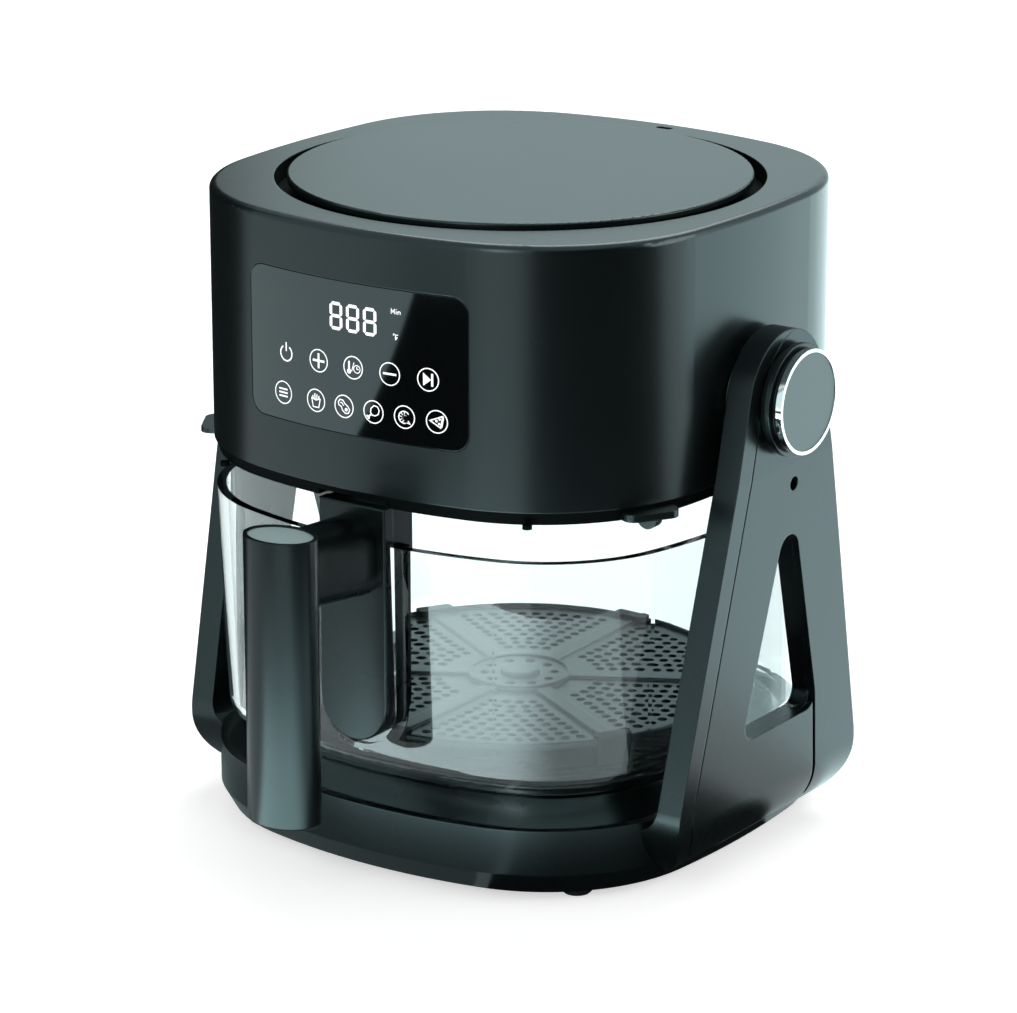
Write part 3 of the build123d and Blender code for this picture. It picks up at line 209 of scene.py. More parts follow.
def rounded_bump(tree, shader, height, strength, depth_mm, edge_mm):
    """Bump over a normal that softens the edges of the solids."""
    edge = add_node(tree, "ShaderNodeBevel", samples=6)
    edge.inputs["Radius"].default_value = edge_mm * MM
    bump = add_node(tree, "ShaderNodeBump")
    bump.inputs["Strength"].default_value = strength
    bump.inputs["Distance"].default_value = depth_mm * MM
    link(tree, height, bump.inputs["Height"])
    link(tree, edge.outputs["Normal"], bump.inputs["Normal"])
    link(tree, bump.outputs["Normal"], shader.inputs["Normal"])


def moulded(name, colour, roughness, grain=2500.0, tone=0.12, gloss=0.05, bump=0.25, edge=0.5, specular=0.5,
            tint=(1, 1, 1), metallic=0.0):
    """Moulded, painted or plated surface with fine grain."""
    material, tree, shader = start_material(name)
    surface = add_node(tree, "ShaderNodeGroup", node_tree=GRAIN)
    surface.inputs["Colour"].default_value = (*colour, 1)
    surface.inputs["Roughness"].default_value = roughness
    surface.inputs["Grain per metre"].default_value = grain
    surface.inputs["Tone drift"].default_value = tone
    surface.inputs["Gloss drift"].default_value = gloss
    link(tree, surface.outputs["Colour"], shader.inputs["Base Color"])
    link(tree, surface.outputs["Roughness"], shader.inputs["Roughness"])
    rounded_bump(tree, shader, surface.outputs["Height"], bump, 0.02, edge)
    shader.inputs["Specular IOR Level"].default_value = specular
    shader.inputs["Specular Tint"].default_value = (*tint, 1)
    shader.inputs["Metallic"].default_value = metallic
    return material


def brushed(name, colour, roughness, stretch, bump=0.2, edge=0.3):
    """Bare metal with drawn or turned lines."""
    material, tree, shader = start_material(name)
    surface = add_node(tree, "ShaderNodeGroup", node_tree=BRUSHED)
    surface.inputs["Colour"].default_value = (*colour, 1)
    surface.inputs["Roughness"].default_value = roughness
    surface.inputs["Stretch"].default_value = stretch
    link(tree, surface.outputs["Colour"], shader.inputs["Base Color"])
    link(tree, surface.outputs["Roughness"], shader.inputs["Roughness"])
    rounded_bump(tree, shader, surface.outputs["Height"], bump, 0.01, edge)
    shader.inputs["Metallic"].default_value = 1.0
    return material


def clear_glass():
    """Slightly green soda glass with faint smears that only change its gloss."""
    material, tree, shader = start_material("clear_bowl_glass")
    surface = add_node(tree, "ShaderNodeGroup", node_tree=GRAIN)
    surface.inputs["Colour"].default_value = (0.955, 0.985, 0.98, 1)
    surface.inputs["Roughness"].default_value = 0.012
    surface.inputs["Grain per metre"].default_value = 30
    surface.inputs["Tone drift"].default_value = 0.01
    surface.inputs["Gloss drift"].default_value = 0.012
    link(tree, surface.outputs["Colour"], shader.inputs["Base Color"])
    link(tree, surface.outputs["Roughness"], shader.inputs["Roughness"])
    shader.inputs["Transmission Weight"].default_value = 1.0
    shader.inputs["IOR"].default_value = 1.47
    return material


def printed_white():
    """White ink of the panel marks, lit a little from behind."""
    material, tree, shader = start_material("panel_print")
    surface = add_node(tree, "ShaderNodeGroup", node_tree=GRAIN)
    surface.inputs["Colour"].default_value = (0.9, 0.92, 0.92, 1)
    surface.inputs["Roughness"].default_value = 0.35
    surface.inputs["Tone drift"].default_value = 0.05
    link(tree, surface.outputs["Colour"], shader.inputs["Base Color"])
    link(tree, surface.outputs["Roughness"], shader.inputs["Roughness"])
    link(tree, surface.outputs["Colour"], shader.inputs["Emission Color"])
    shader.inputs["Emission Strength"].default_value = 0.75
    return material


COOL = (0.78, 0.98, 1.0)
FINISH = {
    "satin_black": moulded("satin_black_plastic", (0.0028, 0.004, 0.0042), 0.27,
                           bump=0.16, edge=0.7, tint=COOL),
    "handle_black": moulded("handle_plastic", (0.0028, 0.004, 0.0042), 0.27,
                            bump=0.16, edge=0.7, tint=COOL, specular=0.3),
    # dull_black: the black plastic made matte and given almost no reflection (specular 0.02), so that it reads
    # as shaded: painted shade on top of a real matte finish
    "dull_black": moulded("matte_black_with_painted_shade", (0.0028, 0.0036, 0.0036), 0.6,
                          bump=0.3, edge=0.4, tint=COOL, specular=0.02),
    "deck_grey": moulded("satin_disc_plastic", (0.004, 0.006, 0.006), 0.26,
                         bump=0.14, edge=0.5, tint=COOL),
    "panel_black": moulded("gloss_panel", (0.002, 0.0024, 0.0026), 0.045,
                           grain=60, gloss=0.01, bump=0.01, edge=0.2, tint=COOL, specular=0.85),
    "cap_grey": moulded("knob_cap_lacquer", (0.085, 0.115, 0.12), 0.34,
                        bump=0.12, edge=0.3, tint=COOL),
    "grip_grey": moulded("grip_cap_lacquer", (0.5, 0.66, 0.66), 0.3,
                         bump=0.1, edge=0.3, tint=COOL),
    "chrome": moulded("bright_chrome", (0.86, 0.88, 0.89), 0.06,
                      grain=200, tone=0.02, gloss=0.02, bump=0.02, edge=0.2, metallic=1.0),
    "clear_glass": clear_glass(),
    "rack_black": moulded("non_stick_coat", (0.024, 0.031, 0.032), 0.3,
                          grain=1800, bump=0.3, edge=0.3, tint=COOL),
    "sheet_metal": brushed("pressed_sheet", (0.55, 0.57, 0.57), 0.3, (60.0, 900.0, 900.0)),
    "element_metal": moulded("heater_sheath", (0.16, 0.15, 0.145), 0.42,
                             grain=900, tone=0.4, metallic=1.0),
    "zinc": brushed("plated_steel", (0.6, 0.62, 0.64), 0.28, (900.0, 900.0, 60.0)),
    "rubber": moulded("soft_rubber", (0.011, 0.012, 0.012), 0.62,
                      grain=1600, bump=0.4, edge=0.4, specular=0.35),
    "board_green": moulded("board_laminate", (0.02, 0.11, 0.05), 0.4, grain=700, tone=0.3),
}
PRINT = printed_white()

slots = {entry["node"]: entry["material_slot"] for entry in frame["record"]["subparts"]}
for name, node in nodes.items():
    for slot in node.material_slots:
        slot.material = FINISH[slots[name]]
for name in ("handle_plate", "handle_clamp", "grip_shell", "grip_back"):
    for slot in nodes[name].material_slots:
        slot.material = FINISH["handle_black"]


def placed(name, shape, material=None):
    """Object in the scene from a bmesh, which is used up."""
    mesh = bpy.data.meshes.new(name)
    shape.to_mesh(mesh)
    shape.free()
    if material:
        mesh.materials.append(material)
    thing = bpy.data.objects.new(name, mesh)
    bpy.context.scene.collection.objects.link(thing)
    return thing


def finish_piece(name, shape, material, body):
    """Flat-shaded piece of the object that rides on a body."""
    bmesh.ops.recalc_face_normals(shape, faces=shape.faces[:])
    piece = placed(name, shape, material)
    for face in piece.data.polygons:
        face.use_smooth = False
        face.material_index = 0
    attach(piece, body)
    return piece


def filled_outlines(outlines, thickness):
    """Flat plate of closed outlines, inner ones as holes, thickened equally both ways. Returns a mesh."""
    curve = bpy.data.curves.new("outline", "CURVE")
    curve.dimensions = "2D"
    curve.fill_mode = "BOTH"
    curve.resolution_u = 1
    curve.extrude = thickness / 2
    for points in outlines:
        spline = curve.splines.new("POLY")
        spline.points.add(len(points) - 1)
        for point, (x, y) in zip(spline.points, points):
            point.co = (x, y, 0, 1)
        spline.use_cyclic_u = True
    holder = bpy.data.objects.new("outline", curve)
    bpy.context.scene.collection.objects.link(holder)
    graph = bpy.context.evaluated_depsgraph_get()
    mesh = bpy.data.meshes.new_from_object(holder.evaluated_get(graph))
    bpy.data.objects.remove(holder)
    return mesh


def circle_points(radius, x=0.0, y=0.0, count=32, start=0.0, turn=360.0):
    closed = abs(turn) >= 360
    steps = count if closed else count - 1
    out = []
    for k in range(count):
        angle = math.radians(start + turn * k / steps)
        out.append((x + radius * math.cos(angle), y + radius * math.sin(angle)))
    return out


def stroke(points, width, closed=False):
    """Outline of a line of constant width along points, cut square at open ends."""
    def normal(a, b):
        dx, dy = b[0] - a[0], b[1] - a[1]
        length = math.hypot(dx, dy)
        return -dy / length, dx / length

    count = len(points)
    left, right = [], []
    for k, point in enumerate(points):
        before = points[k - 1] if k or closed else None
        after = points[(k + 1) % count] if k < count - 1 or closed else None
        n1 = normal(before, point) if before else normal(point, after)
        n2 = normal(point, after) if after else n1
        nx, ny = n1[0] + n2[0], n1[1] + n2[1]
        size = math.hypot(nx, ny) or 1
        nx, ny = nx / size, ny / size
        reach = width / 2 / max(0.4, nx * n1[0] + ny * n1[1])
        left.append((point[0] + nx * reach, point[1] + ny * reach))
        right.append((point[0] - nx * reach, point[1] - ny * reach))
    if closed:
        return [left, right]
    return [left + right[::-1]]


def panel_y(x):
    """Front surface of the panel at a sideways place."""
    return -(math.sqrt(HEAD_FRONT_BOW**2 - x * x) - HEAD_FRONT_BOW - HEAD_FRONT)


def seven_segments(x, z, width, height, line):
    """All seven bars of one digit."""
    gap = line * 0.14
    bars = []
    half = line / 2
    x0, x1 = x - width / 2 + half, x + width / 2 - half
    levels = (z - height / 2 + half, z, z + height / 2 - half)
    for level in levels:
        a, b = x0 + gap, x1 - gap
        bars.append([(a, level), (a + half, level + half), (b - half, level + half), (b, level),
                     (b - half, level - half), (a + half, level - half)])
    for side in (x0, x1):
        for low, high in zip(levels, levels[1:]):
            a, b = low + gap, high - gap
            bars.append([(side, a), (side + half, a + half), (side + half, b - half), (side, b),
                         (side - half, b - half), (side - half, a + half)])
    return bars


def moved(outlines, x, z):
    return [[(px + x, pz + z) for px, pz in points] for points in outlines]


def power_mark():
    arc = circle_points(3.2, count=28, start=122, turn=296)
    return stroke(arc, 0.62) + stroke([(0, 0.9), (0, 4.6)], 0.66)


def ring_mark():
    return [circle_points(4.85, count=48), circle_points(4.4, count=48)]


def plus_mark():
    a, b = 0.45, 3.1
    return [[(-a, b), (a, b), (a, a), (b, a), (b, -a), (a, -a),
             (a, -b), (-a, -b), (-a, -a), (-b, -a), (-b, a), (-a, a)]]


def minus_mark():
    return [[(-3.1, 0.42), (3.1, 0.42), (3.1, -0.42), (-3.1, -0.42)]]


def play_mark():
    return [[(-2.2, 2.7), (1.3, 0), (-2.2, -2.7)], [(1.4, 2.6), (2.3, 2.6), (2.3, -2.6), (1.4, -2.6)]]


def heat_time_mark():
    bulb = circle_points(1.05, -2.0, -1.7, 20)
    stem = [(-2.45, -0.9), (-1.55, -0.9), (-1.55, 2.3), (-2.0, 2.7), (-2.45, 2.3)]
    slash = stroke([(-0.7, -1.6), (0.5, 2.2)], 0.35)
    clock = [circle_points(1.75, 1.9, -0.4, 28), circle_points(1.4, 1.9, -0.4, 28)]
    hands = stroke([(1.9, 0.7), (1.9, -0.4), (2.8, -0.4)], 0.35)
    return [bulb, stem] + slash + clock + hands


def menu_mark():
    return [[(-2.4, z + 0.33), (2.4, z + 0.33), (2.4, z - 0.33), (-2.4, z - 0.33)] for z in (1.5, 0, -1.5)]


def fries_mark():
    box = stroke([(-2.3, 1.0), (-1.5, -2.8), (1.5, -2.8), (2.3, 1.0)], 0.45)
    sticks = []
    for x, top in ((-1.5, 2.0), (-0.5, 2.9), (0.5, 2.6), (1.5, 2.1)):
        sticks += stroke([(x, 0.5), (x * 1.1, top)], 0.5)
    lip = stroke([(-2.3, 1.0), (0, 0.1), (2.3, 1.0)], 0.4)
    return box + sticks + lip


def steak_mark():
    outer = [(-2.9, 1.5), (-2.0, 2.7), (-0.4, 2.5), (0.5, 1.2), (2.0, 0.3), (2.9, -1.1),
             (2.2, -2.6), (0.6, -2.8), (-0.8, -1.7), (-1.3, -0.3), (-2.6, 0.3)]
    return stroke(outer, 0.45, closed=True) + [circle_points(0.75, 1.1, -1.2, 18)] + stroke(
        [(-1.9, 1.5), (-0.9, 1.3), (-0.2, 0.2)], 0.4)


def drumstick_mark():
    meat = [(0.3, 2.7), (2.0, 2.4), (2.8, 0.9), (2.3, -0.7),
            (0.9, -1.5), (-0.6, -1.4), (-1.4, -0.3), (-1.2, 1.3)]
    bone = stroke([(-1.1, -1.1), (-2.4, -2.3)], 0.6)
    knuckles = [circle_points(0.5, -2.9, -2.1, 14), circle_points(0.5, -2.3, -2.8, 14)]
    return stroke(meat, 0.45, closed=True) + bone + knuckles


def prawn_mark():
    back = circle_points(2.5, -0.1, -0.1, 18, 35, 250)
    belly = circle_points(1.2, 0.2, -0.2, 14, 40, 230)
    ribs = []
    for angle in (90, 130, 170, 210, 250):
        c, s = math.cos(math.radians(angle)), math.sin(math.radians(angle))
        ribs += stroke([(0.1 + 1.3 * c, -0.15 + 1.3 * s), (-0.1 + 2.4 * c, -0.1 + 2.4 * s)], 0.32)
    tail = stroke([(1.0, -2.2), (2.6, -2.6), (1.7, -1.4)], 0.4)
    return stroke(back, 0.45) + stroke(belly, 0.4) + ribs + tail


def slice_mark():
    edge = stroke([(-3.0, 0.2), (2.6, 2.5), (1.6, -2.4)], 0.5, closed=True)
    crust = stroke([(2.9, 2.2), (2.1, -2.2)], 0.5)
    topping = [circle_points(r, x, z, 14) for r, x, z in ((0.55, -0.2, 0.3), (0.5, 1.2, 1.1), (0.5, 1.0, -0.8))]
    return edge + crust + topping


def small_letters():
    """Time and temperature units, in plain strokes."""
    w = 0.34
    minutes = []
    minutes += stroke([(0, 0), (0, 2.0), (0.75, 0.7), (1.5, 2.0), (1.5, 0)], w)
    minutes += stroke([(2.3, 0), (2.3, 1.3)], w) + [circle_points(0.22, 2.3, 1.9, 10)]
    minutes += stroke([(3.1, 0), (3.1, 1.3)], w) + stroke([(3.1, 0.9), (3.6, 1.3), (4.1, 1.1), (4.2, 0)], w)
    degrees = [circle_points(0.42, 0.3, 2.2, 14), circle_points(0.2, 0.3, 2.2, 14)]
    degrees += stroke([(1.1, 0), (1.1, 2.1), (2.3, 2.1)], w) + stroke([(1.1, 1.1), (2.0, 1.1)], w)
    return moved(minutes, 20.5, 245.0) + moved(degrees, 21.3, 234.4)


def panel_print():
    """All marks, laid flat and then wrapped on the bowed panel."""
    groups = []
    for k in range(3):
        digit = seven_segments(FIRST_DIGIT + DIGIT_PITCH * k, DIGIT_LEVEL, *DIGIT_SIZE, DIGIT_LINE)
        groups += [[bar] for bar in digit]
    marks = [
        (power_mark, -33.9, UPPER_KEYS, False),
        (plus_mark, -16.0, UPPER_KEYS, True),
        (heat_time_mark, 1.8, UPPER_KEYS, True),
        (minus_mark, 19.5, UPPER_KEYS, True),
        (play_mark, 37.0, UPPER_KEYS, True),
        (menu_mark, -35.9, LOWER_KEYS, True),
        (fries_mark, -17.7, LOWER_KEYS, True),
        (steak_mark, -3.0, LOWER_KEYS, True),
        (drumstick_mark, 11.6, LOWER_KEYS, True),
        (prawn_mark, 26.2, LOWER_KEYS, True),
        (slice_mark, 40.8, LOWER_KEYS, True),
    ]
    for draw, x, z, ringed in marks:
        if ringed:
            groups.append(moved(ring_mark(), x, z))
        for one in split_marks(draw()):
            groups.append(moved(one, x, z))
    for one in split_marks(small_letters()):
        groups.append(one)
    whole = bmesh.new()
    for group in groups:
        mesh = filled_outlines(group, PRINT_THICKNESS)
        whole.from_mesh(mesh)
        bpy.data.meshes.remove(mesh)
    bmesh.ops.subdivide_edges(
        whole, edges=[e for e in whole.edges if e.calc_length() > 1.5], cuts=2, use_grid_fill=False)
    bmesh.ops.triangulate(whole, faces=whole.faces[:])
    for vertex in whole.verts:
        x, z, lift = vertex.co
        vertex.co = Vector((x, panel_y(x) - PRINT_LIFT - lift, z)) * MM
    finish_piece("panel_print", whole, PRINT, "head")


def split_marks(outlines):
    """Separate shapes, keeping a ring's inner outline with its outer one."""
    out = []
    for points in outlines:
        if out and inside(points[0], out[-1][0]):
            out[-1].append(points)
        else:
            out.append([points])
    return out


def inside(point, polygon):
    x, y = point
    hit = False
    for (x1, y1), (x2, y2) in zip(polygon, polygon[1:] + polygon[:1]):
        if (y1 > y) != (y2 > y) and x < (x2 - x1) * (y - y1) / (y2 - y1) + x1:
            hit = not hit
    return hit


panel_print()


def lathe(shape, profile, steps):
    """Ring swept round the upright axis from (radius, height) points of a closed profile."""
    rings = []
    for k in range(steps):
        angle = 2 * math.pi * k / steps
        c, s = math.cos(angle), math.sin(angle)
        rings.append([shape.verts.new((r * c, r * s, z)) for r, z in profile])
    for k in range(steps):
        one, two = rings[k], rings[(k + 1) % steps]
        for j in range(len(profile)):
            nxt = (j + 1) % len(profile)
            shape.faces.new((one[j], two[j], two[nxt], one[nxt]))


def rack_hole_places():
    """Curved rows between neighbouring ribs, each as full as its pitch allows."""
    step = 2 * math.pi / RIB_COUNT
    places = []
    for row in range(HOLE_ROWS):
        radius = FIRST_ROW + (LAST_ROW - FIRST_ROW) * row / (HOLE_ROWS - 1)
        clear = (RIB_WIDTH / 2 + HOLE_RADIUS + HOLE_TO_RIB) / radius
        count = round((step - 2 * clear) * radius / HOLE_PITCH)
        for sector in range(RIB_COUNT):
            for k in range(count):
                angle = rib_angle(sector) + clear + (step - 2 * clear) * (k + 0.5) / count
                places.append((radius * math.cos(angle), radius * math.sin(angle), HOLE_RADIUS))
    return places


def rib_angle(k):
    return math.radians(RIB_START) + 2 * math.pi * k / RIB_COUNT


def rack_piece():
    """Perforated sheet with rolled rim, raised ribs and lipped hub."""
    hub_holes = [(x, y, HUB_HOLE_RADIUS) for x, y in circle_points(HUB_HOLE_CIRCLE, count=HUB_HOLES)]
    whole = bmesh.new()
    plate = [circle_points(RACK_RADIUS - 0.6, count=120)]
    plate += [circle_points(r, x, y, 16) for x, y, r in rack_hole_places() + hub_holes]
    hub_floor = [circle_points(HUB_RADIUS - 1.6, count=72), circle_points(BUTTON_SEAT, count=48)]
    hub_floor += [circle_points(r, x, y, 16) for x, y, r in hub_holes]
    for outlines, thickness, level in ((plate, RACK_SHEET, -RACK_SHEET / 2), (hub_floor, 1.0, 0.5)):
        mesh = filled_outlines(outlines, thickness)
        part = bmesh.new()
        part.from_mesh(mesh)
        bmesh.ops.translate(part, verts=part.verts[:], vec=(0, 0, level))
        part.to_mesh(mesh)
        part.free()
        whole.from_mesh(mesh)
        bpy.data.meshes.remove(mesh)
    outer, inner = RACK_RADIUS, RACK_RADIUS - RACK_RIM_WALL
    lathe(whole, [(inner, 0), (inner + 0.3, 1.4), (inner + 0.8, 1.8), (outer - 0.6, 1.7), (outer - 0.1, 1.2),
                  (outer, 0), (outer - 0.4, -RACK_SHEET), (inner, -RACK_SHEET)], 120)
    lip = HUB_RADIUS
    lathe(whole, [(lip - 2.2, 0), (lip - 1.9, 1.6), (lip - 1.4, 2.0), (lip - 0.7, 2.0), (lip - 0.2, 1.6),
                  (lip + 0.3, 0)], 72)
    half = RIB_WIDTH / 2
    section = [(-half, 0), (-half + 0.5, 0.9), (-half + 1.1, RIB_HEIGHT), (half - 1.1, RIB_HEIGHT),
               (half - 0.5, 0.9), (half, 0)]
    for k in range(RIB_COUNT):
        turn = Matrix.Rotation(rib_angle(k), 3, "Z")
        ends = []
        for r in (lip - 0.4, outer - 1.2):
            ends.append([whole.verts.new(turn @ Vector((r, y, z))) for y, z in section])
        for j in range(len(section) - 1):
            whole.faces.new((ends[0][j], ends[1][j], ends[1][j + 1], ends[0][j + 1]))
    for vertex in whole.verts:
        vertex.co = (vertex.co + Vector((0, 0, RACK_TOP))) * MM
    piece = finish_piece("rack_with_holes", whole, FINISH["rack_black"], "rack")
    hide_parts("crisper_rack")


def rack_feet():
    """Soft blocks at the rib ends."""
    whole = bmesh.new()
    in_x, in_y = FOOT_HALF[0] - FOOT_CORNER, FOOT_HALF[1] - FOOT_CORNER
    outline = []
    for x, y, start in ((in_x, in_y, 0), (-in_x, in_y, 90), (-in_x, -in_y, 180), (in_x, -in_y, 270)):
        outline += circle_points(FOOT_CORNER, x, y, 6, start, 90)
    for k in range(RIB_COUNT):
        mesh = filled_outlines([outline], FOOT_TOP - FOOT_LOW)
        turn = Matrix.Rotation(rib_angle(k), 4, "Z")
        lift = Matrix.Translation((RACK_RADIUS - FOOT_INSET, 0, (FOOT_TOP + FOOT_LOW) / 2))
        mesh.transform(Matrix.Scale(MM, 4) @ turn @ lift)
        whole.from_mesh(mesh)
        bpy.data.meshes.remove(mesh)
    piece = finish_piece("rack_feet", whole, FINISH["rubber"], "rack")
    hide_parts("rack_bumpers")


rack_piece()
rack_feet()


# Studio: metres, and azimuths in degrees with 0 in front and 90 on the right
COOL_LIGHT = (0.725, 0.92, 0.94)
FLOOR_GLOW = 0.58
FILL_LEVEL = 0.45
DARK = 0.02
FAR = 3.0
CARD_HEIGHT = 2.6
CARD_STEPS = 24
FLOOR_CARD_LEVEL, RAISED_CARD_LEVEL = 0.0005, 0.001
VIEW_AZIMUTH, VIEW_ELEVATION, VIEW_DISTANCE = 35.15, 17.2, 1.844
VIEW_TARGET = (-0.0041, -0.0029, 0.1312)
LENS = 152.2


def light_colour(tree):
    """White to the eye, slightly cool in reflections."""
    path = add_node(tree, "ShaderNodeLightPath")
    mix = add_node(tree, "ShaderNodeMix", data_type="RGBA")
    mix.inputs["A"].default_value = (1, 1, 1, 1)
    mix.inputs["B"].default_value = (*COOL_LIGHT, 1)
    link(tree, path.outputs["Is Glossy Ray"], mix.inputs["Factor"])
    return mix.outputs["Result"]


def make_floor():
    """Pale floor that keeps the object's shadow and looks white."""
    plane = bmesh.new()
    bmesh.ops.create_circle(plane, cap_ends=True, radius=30, segments=96)
    material = bpy.data.materials.new("white_floor")
    material.use_nodes = True
    tree = material.node_tree
    tree.nodes.clear()
    matt = add_node(tree, "ShaderNodeBsdfDiffuse")
    matt.inputs["Color"].default_value = (0.8, 0.8, 0.8, 1)
    glow = add_node(tree, "ShaderNodeEmission")
    both = add_node(tree, "ShaderNodeAddShader")
    out = add_node(tree, "ShaderNodeOutputMaterial")
    link(tree, seen_directly(tree, FLOOR_GLOW), glow.inputs["Strength"])
    link(tree, light_colour(tree), glow.inputs["Color"])
    link(tree, matt.outputs[0], both.inputs[0])
    link(tree, glow.outputs[0], both.inputs[1])
    link(tree, both.outputs[0], out.inputs["Surface"])
    placed("studio_floor", plane, material)


def seen_directly(tree, strength):
    """Strength for rays that look at the background, straight or by way of metal and glass."""
    path = add_node(tree, "ShaderNodeLightPath")
    first = add_node(tree, "ShaderNodeMath", operation="MAXIMUM")
    link(tree, path.outputs["Is Camera Ray"], first.inputs[0])
    link(tree, path.outputs["Is Glossy Ray"], first.inputs[1])
    second = add_node(tree, "ShaderNodeMath", operation="MAXIMUM")
    link(tree, first.outputs[0], second.inputs[0])
    link(tree, path.outputs["Is Transmission Ray"], second.inputs[1])
    scaled = add_node(tree, "ShaderNodeMath", operation="MULTIPLY")
    scaled.inputs[1].default_value = strength
    link(tree, second.outputs[0], scaled.inputs[0])
    return scaled.outputs[0]


def make_world():
    """White where it is seen or reflected, and a soft fill elsewhere."""
    world = bpy.data.worlds.new("studio_world")
    bpy.context.scene.world = world
    world.use_nodes = True
    tree = world.node_tree
    tree.nodes.clear()
    level = add_node(tree, "ShaderNodeMapRange")
    level.inputs["To Min"].default_value = FILL_LEVEL
    level.inputs["To Max"].default_value = 1.0
    link(tree, seen_directly(tree, 1.0), level.inputs["Value"])
    background = add_node(tree, "ShaderNodeBackground")
    link(tree, light_colour(tree), background.inputs["Color"])
    link(tree, level.outputs["Result"], background.inputs["Strength"])
    out = add_node(tree, "ShaderNodeOutputWorld")
    link(tree, background.outputs[0], out.inputs["Surface"])


def around(azimuth, radius, level):
    angle = math.radians(azimuth)
    return radius * math.sin(angle), -radius * math.cos(angle), level


def make_strip(name, azimuth, spread, low_edge, high_edge, tone):
    """Curved card between two (radius, level) edges."""
    shape = bmesh.new()
    rows = []
    for k in range(CARD_STEPS + 1):
        place = azimuth - spread / 2 + spread * k / CARD_STEPS
        rows.append([shape.verts.new(around(place, *edge)) for edge in (low_edge, high_edge)])
    for (a, b), (c, d) in zip(rows, rows[1:]):
        shape.faces.new((a, c, d, b))
    return card_object(name, shape, tone)


def make_wall_card(name, azimuth, spread, tone):
    """Curved upright card, seen only in reflections."""
    return make_strip(name, azimuth, spread, (FAR, 0.0), (FAR, CARD_HEIGHT), tone)


def make_floor_card(name, azimuth, spread, inner, outer, tone, level=FLOOR_CARD_LEVEL):
    """Sector of one tone just over the floor, seen only in reflections."""
    return make_strip(name, azimuth, spread, (inner, level), (outer, level), tone)


def fade_round(card, start, end, tone, end_tone):
    """Lets the card's tone fall from one azimuth to the next, so that its reflection in the glass fades."""
    tree = card.data.materials[0].node_tree
    glow = next(n for n in tree.nodes if n.type == "EMISSION")
    place = add_node(tree, "ShaderNodeTexCoord")
    parts = add_node(tree, "ShaderNodeSeparateXYZ")
    link(tree, place.outputs["Object"], parts.inputs[0])
    front = add_node(tree, "ShaderNodeMath", operation="MULTIPLY")
    front.inputs[1].default_value = -1.0
    link(tree, parts.outputs["Y"], front.inputs[0])
    azimuth = add_node(tree, "ShaderNodeMath", operation="ARCTAN2")
    link(tree, parts.outputs["X"], azimuth.inputs[0])
    link(tree, front.outputs[0], azimuth.inputs[1])
    fade = add_node(tree, "ShaderNodeMapRange", interpolation_type="SMOOTHSTEP")
    fade.inputs["From Min"].default_value = math.radians(start)
    fade.inputs["From Max"].default_value = math.radians(end)
    fade.inputs["To Min"].default_value = tone
    fade.inputs["To Max"].default_value = end_tone
    link(tree, azimuth.outputs[0], fade.inputs["Value"])
    link(tree, fade.outputs["Result"], glow.inputs["Strength"])


def make_panel_card(name, corners, tone):
    """Flat card over the floor from (azimuth, radius) corners, for the slanted edge that the panel reflects."""
    shape = bmesh.new()
    shape.faces.new([shape.verts.new(around(*corner, RAISED_CARD_LEVEL)) for corner in corners])
    return card_object(name, shape, tone)


def card_object(name, shape, tone):
    """Glowing card that only reflections see."""
    material = bpy.data.materials.new(name)
    material.use_nodes = True
    tree = material.node_tree
    tree.nodes.clear()
    dim = add_node(tree, "ShaderNodeEmission")
    dim.inputs["Color"].default_value = (*COOL_LIGHT, 1)
    dim.inputs["Strength"].default_value = tone
    out = add_node(tree, "ShaderNodeOutputMaterial")
    link(tree, dim.outputs[0], out.inputs["Surface"])
    card = placed(name, shape, material)
    card.visible_camera = False
    card.visible_diffuse = False
    card.visible_transmission = False
    card.visible_shadow = False
    card.visible_volume_scatter = False
    return card


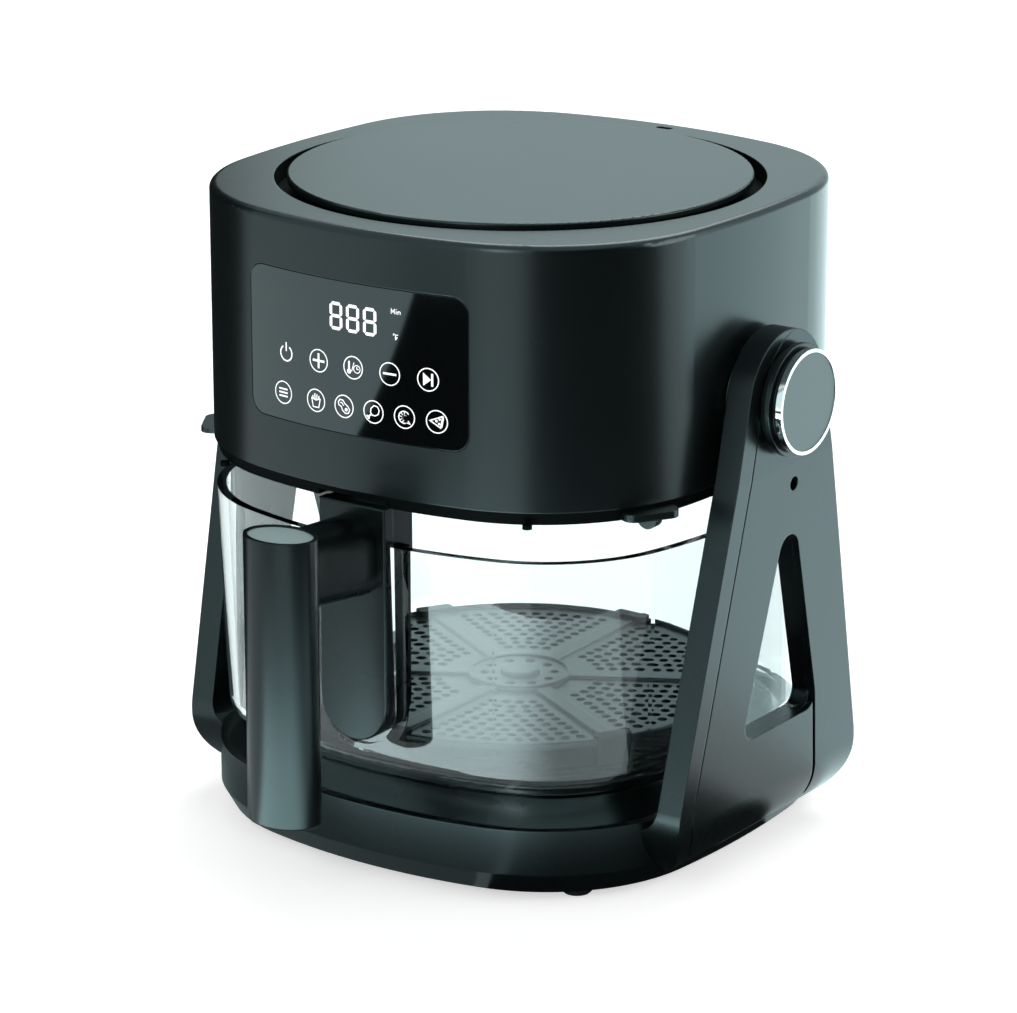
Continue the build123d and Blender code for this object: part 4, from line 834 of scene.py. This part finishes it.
def make_lamp(name, place, target, size, power):
    lamp = bpy.data.lights.new(name, "AREA")
    lamp.shape = "RECTANGLE"
    lamp.size, lamp.size_y = size
    lamp.energy = power
    holder = bpy.data.objects.new(name, lamp)
    bpy.context.scene.collection.objects.link(holder)
    holder.location = place
    holder.rotation_mode = "QUATERNION"
    holder.rotation_quaternion = (Vector(target) - Vector(place)).to_track_quat("-Z", "Y")


def make_camera():
    """Photograph's viewing angle: 35 degrees round to the right and 17 degrees up."""
    elevation = math.radians(VIEW_ELEVATION)
    back = Vector(around(VIEW_AZIMUTH, math.cos(elevation), math.sin(elevation)))
    camera = bpy.data.cameras.new("camera")
    camera.sensor_width = 36
    camera.lens = LENS
    camera.clip_start, camera.clip_end = 0.05, 60
    holder = bpy.data.objects.new("camera", camera)
    bpy.context.scene.collection.objects.link(holder)
    holder.location = Vector(VIEW_TARGET) + back * VIEW_DISTANCE
    holder.rotation_mode = "QUATERNION"
    holder.rotation_quaternion = (-back).to_track_quat("-Z", "Y")
    bpy.context.scene.camera = holder


make_floor()
make_world()
make_floor_card("dark_floor_left", -103, 72, 0.0, FAR, DARK)
make_floor_card("dark_floor_corner", 66, 76, 0.0, FAR, DARK)
# Painted shadow: this dim sector stands in for the floor's contact shadow round the base, as the base front
# reflects it
make_floor_card("painted_floor_shadow_near", -24, 98, 0.0, 0.205, 0.35)
glass_glow = make_floor_card("bright_floor_for_glass", 28, 100, 0.225, 0.42, 1.0, RAISED_CARD_LEVEL)
fade_round(glass_glow, 15, 45, 9.5, 2.2)
make_floor_card("bright_floor_right", 141, 40, 0.0, FAR, 2.5)
make_floor_card("bright_floor_back", 192, 62, 0.0, FAR, 2.7)
make_panel_card("dark_floor_for_panel", ((-33.5, 0.70), (-17.7, 1.12), (-3.0, 1.14), (-3.0, 0.70)), DARK)
make_wall_card("dark_wall_left", -103, 72, DARK)
make_wall_card("dark_wall_corner", 66, 76, DARK)
make_lamp("top_softbox", (-0.5, 1.3, 1.9), (0, 0, 0.2), (1.8, 1.2), 26)
make_lamp("front_softbox", (0.35, -1.9, 0.9), (0, 0, 0.15), (0.5, 1.3), 9)
make_lamp("side_softbox", (1.9, 0.9, 0.8), (0, 0, 0.15), (1.2, 1.2), 16)
make_camera()
bpy.context.scene.view_settings.view_transform = "Standard"
